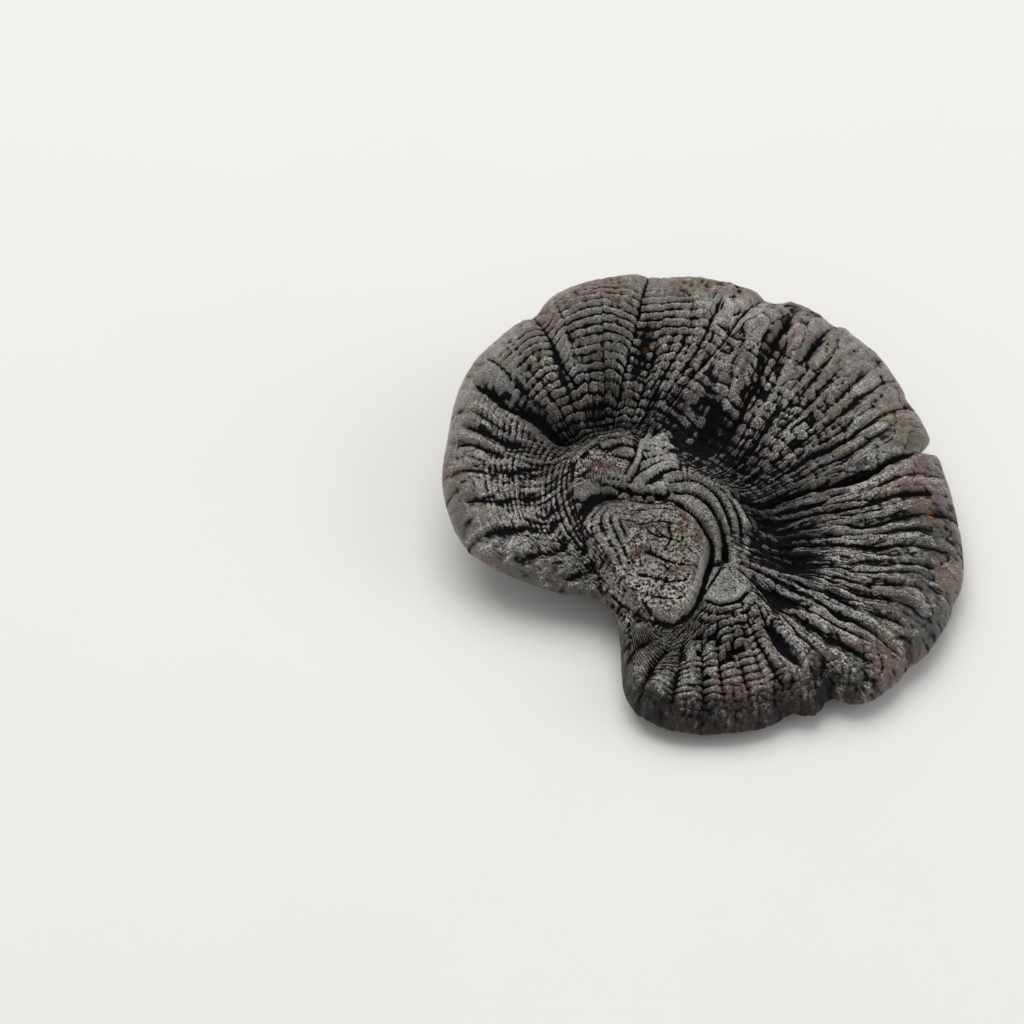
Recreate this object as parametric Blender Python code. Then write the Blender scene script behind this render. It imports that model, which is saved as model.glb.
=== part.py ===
"""Dried reishi cap: one folded, kidney-shaped bracket on a short cut stem.

Metres, +Z up.  The origin is the middle of the flat stem cut, the cap rises
towards +Y and its right-hand fan of ridges spreads towards +X.
A point of the upper side is given by its spoke (degrees round the rim) and by
s, which runs from 0 at the hub's edge to 1 at the rim.  All lengths below are
millimetres.
"""
import math

import bmesh
import bpy
import numpy as np
from mathutils import Vector
from mathutils.bvhtree import BVHTree
from mathutils.geometry import delaunay_2d_cdt

MM = 0.001

# outline: spoke, radius from the origin
RIM = ((0, 72), (15, 71.5), (30, 72.5), (45, 74.5), (60, 74), (75, 72.5),
       (90, 73.5), (105, 77), (120, 81), (135, 81.5), (150, 83.5), (165, 80.5),
       (178, 79), (192, 73), (205, 58), (216, 47), (226, 45), (236, 51),
       (246, 66), (256, 70.5), (270, 70), (285, 68.5), (300, 72), (315, 72.8),
       (330, 73.2), (345, 73.5))
# notches in the outline: spoke, depth, half width in degrees
NOTCHES = ((20.8, 6.0, 1.5), (73.2, 4.2, 3.4), (58.7, 1.6, 2.2),
           (316.5, 1.2, 3.0), (296.5, 5.0, 3.8), (286, 2.2, 3.5),
           (99, 1.2, 4.0), (131, 2.0, 3.0), (34, 1.0, 2.0), (338, 0.8, 3.0))
# edge of the hub: spoke, x, y
HUB = ((0, 4, -14), (15, 4, -9), (30, 2, -1), (45, -1, 7), (60, -8, 12),
       (75, -18, 20), (90, -23, 25), (110, -28, 27), (130, -34, 25),
       (155, -40, 19), (180, -41, 5), (198, -38, -8), (208, -34, -16),
       (218, -29.5, -24.5), (226, -25.5, -31), (232, -22, -37), (240, -17, -43),
       (247, -12, -43), (254, -8, -38), (262, -4, -30), (270, -2, -24),
       (285, 0.5, -22), (310, 2, -20), (335, 3, -18.5))
# height of the upper side at s = 0, 0.2, 0.5, 0.85 and of the rim's edge
STATIONS = (0.0, 0.2, 0.5, 0.85, 1.0)
PROFILE = ((0, 17, 11, 17, 19, 9), (30, 17, 9.5, 20, 26, 18),
           (60, 17, 10, 24, 36, 30), (90, 17, 11, 28, 42, 38),
           (120, 17, 11, 27, 42, 38), (150, 17, 12, 25, 36, 31),
           (180, 17, 13, 22, 28, 22), (205, 18, 15, 18, 18, 14),
           (225, 18, 16, 15, 14, 12), (245, 18, 17, 17, 15, 7),
           (270, 18, 18, 17, 13, 5), (300, 18, 16.5, 17, 14.5, 6),
           (330, 17, 14.5, 17, 17.5, 8))
# bend of the spokes near the hub: spoke, degrees
BEND = ((0, 32), (15, 28), (30, 22), (45, 12), (60, 0), (68, 6), (75, 26),
        (85, 22), (104, 10), (118, 0), (133, -10), (153, -24), (168, -28),
        (190, -10), (210, 0), (250, 0), (285, 0), (300, 12), (322, 22),
        (345, 30))
BEND_END = 0.66

# creases that run along the spokes: spoke at s = 0.9, 0.6 and 0.4, where they
# start and end, half width in degrees, depth, lift of the anticlockwise side
CREASES = (
    (169.5, 168.5, 166.0, 0.40, 0.95, 1.4, 2.4, 0.0),
    (165.5, 164.0, 164.5, 0.40, 0.92, 1.2, 2.0, 0.0),
    (161.5, 160.3, 159.5, 0.32, 0.88, 1.3, 1.6, 0.0),
    (154.0, 152.0, 149.0, 0.22, 0.92, 2.4, 4.6, 0.0),
    (147.0, 146.0, 144.5, 0.45, 0.95, 0.9, 0.9, 0.0),
    (140.3, 140.0, 139.0, 0.30, 0.75, 0.9, 0.9, 0.0),
    (132.3, 130.5, 126.5, 0.38, 1.00, 1.5, 2.3, 0.0),
    (126.2, 124.5, 122.0, 0.55, 0.95, 0.8, 0.9, 0.0),
    (115.0, 114.5, 114.0, 0.30, 0.70, 0.9, 0.9, 0.0),
    (103.5, 105.0, 107.0, 0.28, 1.00, 1.9, 3.0, 1.3),
    (97.5, 96.5, 94.5, 0.26, 0.62, 1.7, 2.6, 0.0),
    (88.0, 87.5, 87.0, 0.35, 0.80, 0.9, 1.0, 0.0),
    (83.0, 81.8, 80.0, 0.40, 0.92, 0.9, 1.2, 0.0),
    (75.0, 76.0, 76.5, 0.24, 1.00, 1.5, 3.0, -1.6),
    (65.5, 63.5, 62.3, 0.30, 0.92, 1.2, 2.4, 0.0),
    (62.0, 61.6, 60.8, 0.42, 0.84, 0.9, 1.6, 0.0),
    (57.0, 54.8, 53.5, 0.66, 1.00, 1.2, 2.8, 0.0),
    (50.5, 49.8, 49.5, 0.42, 0.88, 1.0, 1.3, 0.0),
    (47.0, 46.5, 46.3, 0.36, 0.85, 0.9, 1.3, 0.0),
    (42.5, 41.0, 41.0, 0.34, 0.95, 1.0, 1.3, 0.0),
    (38.2, 37.5, 37.5, 0.30, 0.95, 1.1, 1.8, 0.0),
    (34.0, 33.8, 33.5, 0.30, 0.90, 1.0, 1.4, 0.0),
    (31.0, 30.5, 30.0, 0.24, 1.00, 1.2, 2.2, 0.0),
    (26.3, 26.0, 25.0, 0.30, 0.82, 1.0, 1.3, 0.0),
    (19.3, 17.4, 19.5, 0.28, 1.00, 1.0, 4.6, 1.4),
    (12.5, 12.0, 11.5, 0.45, 0.95, 1.0, 1.4, 0.0),
    (6.2, 7.8, 7.5, 0.34, 0.95, 1.4, 2.2, 0.0),
    (0.2, -0.8, 0.5, 0.36, 1.00, 1.3, 2.4, 0.0),
    (-5.5, -5.0, -5.0, 0.40, 0.90, 1.0, 1.2, 0.0),
    (-10.8, -9.5, -9.8, 0.34, 0.95, 1.4, 2.2, 0.0),
    (-16.5, -17.8, -17.6, 0.24, 0.95, 1.2, 1.7, 0.0),
    (-19.8, -21.5, -21.5, 0.28, 0.86, 1.3, 2.2, 0.0),
    (-24.5, -26.2, -27.0, 0.24, 0.96, 1.2, 2.1, 0.0),
    (-30.5, -31.0, -32.0, 0.22, 0.95, 1.5, 2.5, 0.0),
    (-37.0, -37.2, -36.8, 0.45, 0.95, 1.2, 2.3, 0.0),
    (-44.0, -43.2, -41.8, 0.26, 1.00, 1.3, 2.5, 0.0),
    (-46.6, -47.6, -48.5, 0.44, 0.92, 1.0, 2.2, 0.0),
    (-51.0, -53.2, -55.5, 0.22, 0.94, 1.9, 3.2, 0.0),
    (-59.5, -61.0, -60.5, 0.40, 0.90, 1.0, 1.5, 0.0),
    (-66.0, -68.6, -67.5, 0.36, 0.84, 2.0, 4.0, 0.0),
    (-74.5, -75.6, -75.4, 0.30, 0.95, 1.3, 2.4, 0.0),
    (-79.0, -79.0, -79.0, 0.40, 0.86, 1.0, 1.5, 0.0),
    (-84.0, -84.5, -84.5, 0.40, 0.92, 1.0, 1.5, 0.0),
    (-90.5, -91.2, -90.5, 0.34, 0.92, 1.2, 2.0, 0.0),
    (-95.5, -96.5, -97.5, 0.34, 1.00, 1.3, 2.0, 0.0),
    (-103, -104, -105, 0.30, 0.95, 1.6, 2.2, 0.0),
    (-111, -112, -112, 0.30, 1.00, 1.8, 2.6, 0.0),
    (-118, -119, -119, 0.30, 0.95, 1.6, 1.8, 0.0),
    (-150, -150, -150, 0.20, 1.00, 2.4, 2.4, 0.0),
    (-160, -160, -160, 0.20, 0.95, 2.0, 2.0, 0.0),
    (-168, -168, -168, 0.20, 1.00, 2.0, 2.6, 0.0),
    (-176, -176, -177, 0.25, 0.95, 1.6, 2.0, 0.0),
    (176, 175.5, 174, 0.25, 1.00, 1.6, 2.0, 0.0))
# hollows between the folds: spoke, s, half width in degrees, in s, depth
HOLLOWS = ((148, 0.30, 8, 0.075, 2.6), (120, 0.33, 8, 0.06, 2.2),
           (99, 0.52, 5, 0.05, 4.0), (68, 0.33, 6, 0.10, 2.0),
           (35, 0.24, 9, 0.07, 2.0), (4, 0.24, 7, 0.06, 2.6),
           (-23.5, 0.27, 5, 0.06, 4.2), (-51, 0.31, 6.5, 0.08, 5.0),
           (-67.5, 0.60, 3, 0.10, 1.5))

# growth rings: number between hub and rim, half height
RINGS = 12
RING_HEIGHT = 0.55
# hub relief in plan: domes of x, y, half length, half width, turn, height
DOMES = ((-14.0, -17.0, 26.0, 9.5, 102, 5.5), (-32.0, 17.0, 9.0, 7.0, 150, 2.0),
         (-5.0, -4.0, 13.0, 5.0, 118, 2.4), (1.0, -29.0, 9.0, 7.0, 80, 1.6),
         (-24.0, 24.5, 5.5, 2.4, 5, 1.6))
# curled growth steps beside the hump: middle x, y, radii in x and y, height
CURLS = ((-6.5, -2.0, 9.2, 12.2, 1.5), (-7.0, -2.5, 12.6, 17.2, 1.4),
         (-7.5, -3.0, 15.6, 21.5, 1.0))
CLEFT = (-18.5, 5.0, 6.5, 2.6, 5.5)     # x, y, half length, half width, depth
STRIP = ((-15, 38), (-21, 31), (-23, 22), (-26, 12))
STRIP_HEIGHT = 1.7

RIM_THICK = (5.5, 3.8)      # back, front
FLESH = 8.0                 # thickness behind the rim
RIM_ROLL = 3.2              # depth of the rim's rounding
STEM_X, STEM_Y = 20.0, 17.0  # half axes of the stem cut
STEM_FLARE = 4.0
STEM_HEIGHT = 6.0
HUB_HEIGHT = 17.3
FLOOR_GAP = 0.6             # least height of the underside

SPOKE_STEP = 3.5            # degrees between spokes where no crease runs
FINE_STEP = 2.4             # and beside the deep creases
HUB_STEP = 2.3              # spacing of the points inside the hub
UNDER_ROWS = (0.014, 0.05, 0.14, 0.32, 0.54, 0.76)
SEED = 4


def around(table, deg):
    """Smooth closed curve through rows of (degrees, values...)."""
    rows = np.array(sorted((r[0] % 360, *r[1:]) for r in table), float)
    x = np.concatenate([rows[:, 0] - 360, rows[:, 0], rows[:, 0] + 360])
    y = np.tile(rows[:, 1:], (3, 1))
    deg = np.mod(np.asarray(deg, float), 360)
    i = np.searchsorted(x, deg, side="right") - 1
    slope = np.zeros_like(y)
    slope[1:-1] = (y[2:] - y[:-2]) / (x[2:] - x[:-2])[:, None]
    h = (x[i + 1] - x[i])[..., None]
    t = (deg[..., None] - x[i][..., None]) / h
    return ((2 * t**3 - 3 * t**2 + 1) * y[i] + (t**3 - 2 * t**2 + t) * h * slope[i]
            + (3 * t**2 - 2 * t**3) * y[i + 1] + (t**3 - t**2) * h * slope[i + 1])


def apart(deg, centre):
    """Signed angle from centre to deg, in degrees."""
    return (deg - centre + 180) % 360 - 180


def step(lo, hi, x):
    """Smooth step from 0 at lo to 1 at hi."""
    t = np.clip((x - lo) / (hi - lo), 0, 1)
    return t * t * (3 - 2 * t)


def lumps(x, y, size, seed):
    """Smooth random relief between about -1 and 1."""
    rng = np.random.default_rng(seed)
    grid = rng.uniform(-1, 1, (64, 64))
    fx, fy = x / size, y / size
    ix, iy = np.floor(fx).astype(int), np.floor(fy).astype(int)
    tx, ty = fx - ix, fy - iy
    tx, ty = tx * tx * (3 - 2 * tx), ty * ty * (3 - 2 * ty)
    ix, iy = ix % 64, iy % 64
    jx, jy = (ix + 1) % 64, (iy + 1) % 64
    return ((grid[ix, iy] * (1 - tx) + grid[jx, iy] * tx) * (1 - ty)
            + (grid[ix, jy] * (1 - tx) + grid[jx, jy] * tx) * ty)


def rim_radius(deg):
    """Radius of the outline."""
    r = around(RIM, deg)[..., 0]
    for centre, depth, width in NOTCHES:
        r = r - depth * np.exp(-(apart(deg, centre) / width) ** 2)
    return r


def rim_thick(deg):
    """Thickness of the rim, fuller at the raised back."""
    back = 0.5 + 0.5 * np.sin(np.radians(deg))
    return RIM_THICK[1] + (RIM_THICK[0] - RIM_THICK[1]) * back


def height(deg, s):
    """Height of the upper side without folds and rings."""
    rows = around(PROFILE, deg).copy()
    rows[..., 4] += 0.5 * rim_thick(deg)
    k = np.array(STATIONS)
    run = np.diff(rows, axis=-1) / np.diff(k)
    slope = np.zeros_like(rows)
    wide = k[2:] - k[:-2]
    slope[..., 1:-1] = (run[..., 1:] * np.diff(k)[:-1] + run[..., :-1] * np.diff(k)[1:]) / wide
    slope[..., 0] = 0.3 * run[..., 0]
    slope[..., -1] = 1.3 * run[..., -1]
    s = np.clip(s, 0, 1)
    i = np.clip(np.searchsorted(k, s, side="right") - 1, 0, 3)
    h = k[i + 1] - k[i]
    t = (s - k[i]) / h

    def pick(a, j):
        return np.take_along_axis(a, j[..., None], -1)[..., 0]

    return ((2 * t**3 - 3 * t**2 + 1) * pick(rows, i)
            + (t**3 - 2 * t**2 + t) * h * pick(slope, i)
            + (3 * t**2 - 2 * t**3) * pick(rows, i + 1)
            + (t**3 - t**2) * h * pick(slope, i + 1))


def plan(deg, s):
    """Plan position of spoke and s."""
    bent = deg + around(BEND, deg)[..., 0] * np.clip((BEND_END - s) / BEND_END, 0, 1) ** 1.5
    ang, r, hub = np.radians(bent), rim_radius(bent), around(HUB, bent)
    rim = np.stack([r * np.cos(ang), r * np.sin(ang)], -1)
    return hub + (rim - hub) * s[..., None]


def crease_line(row, s):
    """Spoke of a crease at s."""
    return np.interp(s, (0.4, 0.6, 0.9), (row[2], row[1], row[0]))


def fold_lines(s):
    """Spokes of all creases at s, in the order they run round the rim."""
    order = sorted(CREASES, key=lambda row: row[1] % 360)
    lines = np.stack([crease_line(row, s) % 360 for row in order], -1)
    return order, lines


def pleat(deg, s):
    """Crease before each point, crease after it and the fraction between."""
    order, lines = fold_lines(s)
    start = np.mod(deg[..., None] - lines, 360)
    low = np.argmin(start, -1)
    high = (low + 1) % len(order)
    first = np.take_along_axis(start, low[..., None], -1)[..., 0]
    gap = first + np.mod(np.take_along_axis(lines, high[..., None], -1)[..., 0] - deg, 360)
    return order, low, high, first / gap, gap


def folds(deg, s):
    """Relief of the creases, the ribs between them and the hollows."""
    order, low, high, part, gap = pleat(deg, s)
    fade = np.stack([step(r[3] - 0.05, r[3] + 0.12, s)
                     * (1.0 if r[4] >= 1 else 1 - step(r[4] - 0.12, r[4], s))
                     for r in order], -1)
    rim_part = 1 - 0.6 * step(0.86, 1.0, s)[..., None]
    depth = fade * rim_part * np.array([r[6] for r in order])
    lift = fade * rim_part * np.array([r[7] for r in order])
    width = np.array([r[5] for r in order])

    def at(a, j):
        return np.take_along_axis(np.broadcast_to(a, fade.shape), j[..., None], -1)[..., 0]

    z = np.zeros_like(deg)
    for j, t in ((low, part), (high, 1 - part)):
        power = np.clip(gap / (1.5 * at(width, j)), 1.4, 9)
        z -= at(depth, j) * (1 - t) ** power
    z += np.clip(at(lift, low), 0, None) * np.exp(-part * gap / 6) * (1 - part)
    z += np.clip(-at(lift, high), 0, None) * np.exp(-(1 - part) * gap / 6) * part
    for centre, where, width, reach, deep in HOLLOWS:
        z -= deep * np.exp(-(apart(deg, centre) / width) ** 2 - ((s - where) / reach) ** 2)
    return z


def ring_relief(deg, s):
    """Concentric growth rings, strongest half way and fading at the rim."""
    wave = -np.cos(2 * math.pi * RINGS * s)
    amount = step(0.0, 0.12, s) * (1 - step(0.72, 0.92, s))
    front = 1 - 0.55 * step(-62, -40, apart(deg, 0)) * (1 - step(30, 60, apart(deg, 0)))
    return RING_HEIGHT * wave * amount * front


def along(points, x, y):
    """Distance from a chain of plan points."""
    best = np.full_like(x, 1e9)
    for (ax, ay), (bx, by) in zip(points[:-1], points[1:]):
        dx, dy = bx - ax, by - ay
        t = np.clip(((x - ax) * dx + (y - ay) * dy) / (dx * dx + dy * dy), 0, 1)
        best = np.minimum(best, np.hypot(x - ax - t * dx, y - ay - t * dy))
    return best


def hub_relief(x, y):
    """Scarred hump, smooth lobes, curled steps and the cleft beside them."""
    z = np.zeros_like(x)
    for cx, cy, length, width, turn, rise in DOMES:
        c, s = math.cos(math.radians(turn)), math.sin(math.radians(turn))
        a, b = ((x - cx) * c + (y - cy) * s) / length, ((y - cy) * c - (x - cx) * s) / width
        z += rise * np.clip(1 - a * a - b * b, 0, 1) ** 0.75
    for cx, cy, rx, ry, rise in CURLS:
        off = (np.hypot((x - cx) / rx, (y - cy) / ry) - 1) * 0.5 * (rx + ry)
        turn = np.degrees(np.arctan2(y - cy, x - cx))
        part = step(-62, -35, turn) * (1 - step(110, 140, turn))
        z += rise * part * np.exp(-(off / 1.5) ** 2)
    cx, cy, length, width, depth = CLEFT
    z -= depth * np.exp(-((x - cx) / length) ** 2 - ((y - cy) / width) ** 2)
    return z + STRIP_HEIGHT * np.exp(-(along(STRIP, x, y) / 1.5) ** 2)


def upper(deg, s, full=True):
    """Points of the upper side; the plain shell when full is false."""
    deg, s = np.broadcast_arrays(np.asarray(deg, float), np.asarray(s, float))
    xy = plan(deg, s)
    x, y = xy[..., 0], xy[..., 1]
    z = height(deg, s) + 0.4 * lumps(x + 90, y + 90, 11.0, SEED)
    if full:
        z = z + folds(deg, s) + ring_relief(deg, s) + hub_relief(x, y)
        z = z + 0.35 * lumps(x + 90, y + 90, 4.0, SEED + 1)
    span = plan(deg, np.ones_like(s)) - plan(deg, np.zeros_like(s))
    edge = (1 - s) * np.hypot(span[..., 0], span[..., 1])
    roll = np.clip(1 - edge / RIM_ROLL, 0, 1)
    z = z - 0.5 * rim_thick(deg) * (1 - np.sqrt(1 - roll**2))
    return np.stack([x, y, z], -1)


def hub_points(edge, full=True):
    """Points spread evenly inside the hub's edge, and the triangles on them."""
    loop = [Vector((p[0], p[1])) for p in edge]
    count = len(loop)
    low, high = edge[:, :2].min(0), edge[:, :2].max(0)
    grid = []
    for r, y in enumerate(np.arange(low[1], high[1], HUB_STEP * 0.87)):
        for x in np.arange(low[0] + HUB_STEP * 0.5 * (r % 2), high[0], HUB_STEP):
            grid.append((x, y))
    a, b = edge[:, :2], np.roll(edge[:, :2], -1, axis=0)
    keep = []
    for x, y in grid:
        t = np.clip(((x - a[:, 0]) * (b - a)[:, 0] + (y - a[:, 1]) * (b - a)[:, 1])
                    / ((b - a) ** 2).sum(1), 0, 1)
        gap = np.hypot(x - a[:, 0] - t * (b - a)[:, 0], y - a[:, 1] - t * (b - a)[:, 1]).min()
        cross = ((a[:, 1] > y) != (b[:, 1] > y))
        with np.errstate(divide="ignore", invalid="ignore"):
            at = a[:, 0] + (y - a[:, 1]) * (b - a)[:, 0] / (b - a)[:, 1]
        if np.count_nonzero(cross & (x < at)) % 2 and gap > 0.55 * HUB_STEP:
            keep.append(Vector((x, y)))
    found = delaunay_2d_cdt(loop + keep, [], [list(range(count))], 1, 1e-6)
    xy = np.array([(p.x, p.y) for p in found[0]])
    x, y = xy[:, 0], xy[:, 1]
    z = np.full(len(xy), HUB_HEIGHT) + 0.4 * lumps(x + 90, y + 90, 11.0, SEED)
    if full:
        z = z + hub_relief(x, y) + 0.35 * lumps(x + 90, y + 90, 4.0, SEED + 1)
    z[:count] = edge[:, 2]
    return np.column_stack([xy, z]), found[2]


def spokes(s):
    """Spokes on every crease and on the ribs between, at each s."""
    _, lines = fold_lines(s)
    _, middle = fold_lines(np.array([0.6]))
    gaps = np.mod(np.roll(middle[0], -1) - middle[0], 360)
    order = fold_lines(s)[0]
    out = []
    for k, gap in enumerate(gaps):
        n = (k + 1) % len(gaps)
        here = np.mod(lines[:, n] - lines[:, k], 360)
        fine = max(order[k][6], order[n][6]) > 2.8
        parts = max(2, round(gap / (FINE_STEP if fine else SPOKE_STEP))) if gap > 1.6 else 1
        out += [lines[:, k] + here * j / parts for j in range(parts)]
    return np.stack(out, -1)


def upper_rows():
    """Values of s from the hub's edge to the rim, on the rings' crests and
    troughs and close together where the rim rolls over."""
    rings = [k / (2 * RINGS) for k in range(1, 2 * RINGS - 1)]
    return rings + [0.955, 0.985, 1.0]


def underside(rim, thick, foot, tree):
    """Rows of the underside from the rim's edge to the stem, a flesh's
    thickness below the plain upper side."""
    rows = []
    for q in UNDER_ROWS:
        xy = rim[:, :2] + (foot - rim[:, :2]) * q
        row = []
        for k, (x, y) in enumerate(xy):
            hit = tree.ray_cast(Vector((x, y, 90.0)), Vector((0, 0, -1)))[0]
            roof = hit.z if hit else rim[k, 2] + 0.5 * thick[k]
            inset = q * math.hypot(*(foot[k] - rim[k, :2]))
            roll = max(0.0, 1 - inset / RIM_ROLL)
            flesh = thick[k] + (FLESH - thick[k]) * float(step(0.0, 14.0, inset))
            z = roof - flesh if roll == 0 else rim[k, 2] - 0.5 * thick[k] * math.sqrt(1 - roll**2)
            row.append((x, y, max(z, FLOOR_GAP)))
        rows.append(np.array(row))
    for _ in range(3):
        for row in rows[2:]:
            z = row[:, 2]
            row[:, 2] = 0.5 * z + 0.25 * (np.roll(z, 1) + np.roll(z, -1))
    return rows


def build():
    """One closed shell: upper side, rolled rim, underside and stem cut."""
    s_rows = np.array([0.0] + upper_rows())
    fan = spokes(s_rows)
    deg, count = fan[-1], fan.shape[1]
    top = upper(fan, s_rows[:, None])
    hub, hub_faces = hub_points(top[0])
    plain = upper(fan, s_rows[:, None], full=False)
    plain_hub, _ = hub_points(plain[0], full=False)
    quads = [(r * count + k, r * count + (k + 1) % count,
              (r + 1) * count + (k + 1) % count, (r + 1) * count + k)
             for r in range(len(s_rows) - 1) for k in range(count)]
    shift = plain.shape[0] * count
    quads += [tuple(shift + i for i in f) for f in hub_faces]
    points = np.concatenate([plain.reshape(-1, 3), plain_hub])
    tree = BVHTree.FromPolygons([tuple(p) for p in points], quads)

    rim = top[-1]
    ang = np.arctan2(rim[:, 1], rim[:, 0])
    wall = np.stack([np.cos(ang), np.sin(ang)], -1)
    foot = wall * (STEM_X + STEM_FLARE, STEM_Y + STEM_FLARE)
    lower = underside(rim, rim_thick(deg), foot, tree)
    neck = np.column_stack([foot, np.minimum(lower[-1][:, 2], STEM_HEIGHT)])
    cut = np.column_stack([wall * (STEM_X, STEM_Y), np.zeros(count)])

    mesh = bmesh.new()
    rings = [[mesh.verts.new(Vector(p) * MM) for p in row]
             for row in [*top, *lower, neck, cut]]
    inner = rings[0] + [mesh.verts.new(Vector(p) * MM) for p in hub[count:]]
    for tri in hub_faces:
        mesh.faces.new([inner[i] for i in tri])
    for k in range(count):
        n = (k + 1) % count
        for a, b in zip(rings[:-1], rings[1:]):
            mesh.faces.new((a[k], b[k], b[n], a[n]))
    mesh.faces.new(list(reversed(rings[-1])))
    bmesh.ops.triangulate(mesh, faces=[f for f in mesh.faces if len(f.verts) == 4])
    bmesh.ops.recalc_face_normals(mesh, faces=mesh.faces)
    return mesh


def dark_flesh():
    """Charcoal brown, slightly waxy."""
    mat = bpy.data.materials.new("dried_reishi")
    mat.use_nodes = True
    shader = mat.node_tree.nodes["Principled BSDF"]
    shader.inputs["Base Color"].default_value = (0.055, 0.048, 0.044, 1.0)
    shader.inputs["Roughness"].default_value = 0.5
    return mat


def main():
    """Clear the scene and add the cap."""
    for obj in list(bpy.data.objects):
        bpy.data.objects.remove(obj, do_unlink=True)
    mesh = build()
    data = bpy.data.meshes.new("cap")
    mesh.to_mesh(data)
    mesh.free()
    cap = bpy.data.objects.new("cap", data)
    bpy.context.scene.collection.objects.link(cap)
    data.materials.append(dark_flesh())


main()
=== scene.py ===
"""Dried reishi cap: a blackened, folded bracket mushroom on a short cut stem.

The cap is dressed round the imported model.  Shapes are worked out in millimetres
and degrees and put into the meshes in metres.  A place on the upper side is
given by its spoke, in degrees round the rim, and by s, which runs from 0 at the
hub's edge to 1 at the rim's edge.
"""
from __future__ import annotations

import logging
import math
from dataclasses import dataclass, field
from enum import Enum
from functools import partial
from itertools import product
from typing import Sequence

import bpy
import numpy as np
from bpy.types import Material, Node, NodeSocket, NodeTree, Object
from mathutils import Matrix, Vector
from mathutils.bvhtree import BVHTree


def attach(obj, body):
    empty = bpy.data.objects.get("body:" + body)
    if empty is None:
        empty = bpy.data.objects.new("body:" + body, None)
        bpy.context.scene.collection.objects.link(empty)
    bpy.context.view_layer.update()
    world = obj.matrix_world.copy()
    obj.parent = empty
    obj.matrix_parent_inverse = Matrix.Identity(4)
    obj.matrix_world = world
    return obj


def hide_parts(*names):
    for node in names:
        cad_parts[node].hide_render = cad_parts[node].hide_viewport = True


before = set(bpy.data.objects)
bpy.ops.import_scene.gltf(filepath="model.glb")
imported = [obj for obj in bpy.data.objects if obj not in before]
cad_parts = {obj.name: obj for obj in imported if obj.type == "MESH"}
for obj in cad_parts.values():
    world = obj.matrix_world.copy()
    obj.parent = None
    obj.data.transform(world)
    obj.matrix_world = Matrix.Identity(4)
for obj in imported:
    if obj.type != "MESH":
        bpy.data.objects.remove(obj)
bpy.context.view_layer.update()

log = logging.getLogger("reishi")

Array = np.ndarray
Colour = tuple[float, float, float]
Point = tuple[float, float]
Place = tuple[float, float, float]

MM = 0.001
SEED = 4                # every row of random draws adds its own number to this
PLAN_CELLS = 96         # cells of random relief in plan before it repeats
PLAN_REACH = 90         # millimetres that make all plan places positive
CHART_CELLS = 64        # rows of grains between hub and rim before they repeat
BLANK_DEPTH = 0.04      # height of the drum that a piece starts from, in metres
BLANK_RADIUS = 0.07     # its radius


# ---- small mathematics shared by all pieces ----

def hermite(t: Array, h: Array, a: Array, slope_a: Array, b: Array, slope_b: Array) -> Array:
    """Run smoothly from a to b with a slope given at both.

    Args:
        t: places between the two, from 0 to 1.
        h: the two places' distance.
        a, slope_a: value and slope at the first.
        b, slope_b: value and slope at the second.

    Returns:
        The values.
    """
    return ((2 * t**3 - 3 * t**2 + 1) * a + (t**3 - 2 * t**2 + t) * h * slope_a
            + (3 * t**2 - 2 * t**3) * b + (t**3 - t**2) * h * slope_b)


def around(table: Sequence[Sequence[float]], deg: Array) -> Array:
    """Follow a smooth closed curve through rows of (degrees, values...).

    Args:
        table: rows of a spoke and the values there.
        deg: spokes to read the curve at.

    Returns:
        The values, with one more axis than deg.
    """
    rows = np.array(sorted((r[0] % 360, *r[1:]) for r in table), float)
    x = np.concatenate([rows[:, 0] - 360, rows[:, 0], rows[:, 0] + 360])
    y = np.tile(rows[:, 1:], (3, 1))
    deg = np.mod(np.asarray(deg, float), 360)
    i = np.searchsorted(x, deg, side="right") - 1
    slope = np.zeros_like(y)
    slope[1:-1] = (y[2:] - y[:-2]) / (x[2:] - x[:-2])[:, None]
    h = (x[i + 1] - x[i])[..., None]
    t = (deg[..., None] - x[i][..., None]) / h
    return hermite(t, h, y[i], slope[i], y[i + 1], slope[i + 1])


def apart(deg: Array, centre: float) -> Array:
    """Measure the signed angle from a centre, between -180 and 180 degrees."""
    return (deg - centre + 180) % 360 - 180


def ease(t: Array) -> Array:
    """Bend an even rise from 0 to 1 so that it starts and ends softly."""
    return t * t * (3 - 2 * t)


def step(low: Array | float, high: Array | float, x: Array) -> Array:
    """Rise smoothly with x, from 0 at low to 1 at high."""
    return ease(np.clip((x - low) / (high - low), 0, 1))


def sector(deg: Array, centre: float, inner: float, outer: float) -> Array:
    """Mark a sector: 1 up to inner degrees from its centre, 0 from outer degrees on."""
    return 1 - step(inner, outer, np.abs(apart(deg, centre)))


def spot(deg: Array, s: Array, centre: float, where: float, width: float,
         reach: float) -> Array:
    """Mark a round spot of the chart, width degrees and reach of s from its middle."""
    return np.exp(-(apart(deg, centre) / width) ** 2 - ((s - where) / reach) ** 2)


def oval(x: Array, y: Array, cx: float, cy: float, length: float, width: float,
         turn: float) -> tuple[Array, Array]:
    """Measure plan places along and across a turned oval, in its half axes."""
    c, s = math.cos(math.radians(turn)), math.sin(math.radians(turn))
    return ((x - cx) * c + (y - cy) * s) / length, ((y - cy) * c - (x - cx) * s) / width


def draws(number: int) -> np.random.Generator:
    """Start the row of random draws that has this number."""
    return np.random.default_rng(SEED + number)


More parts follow.
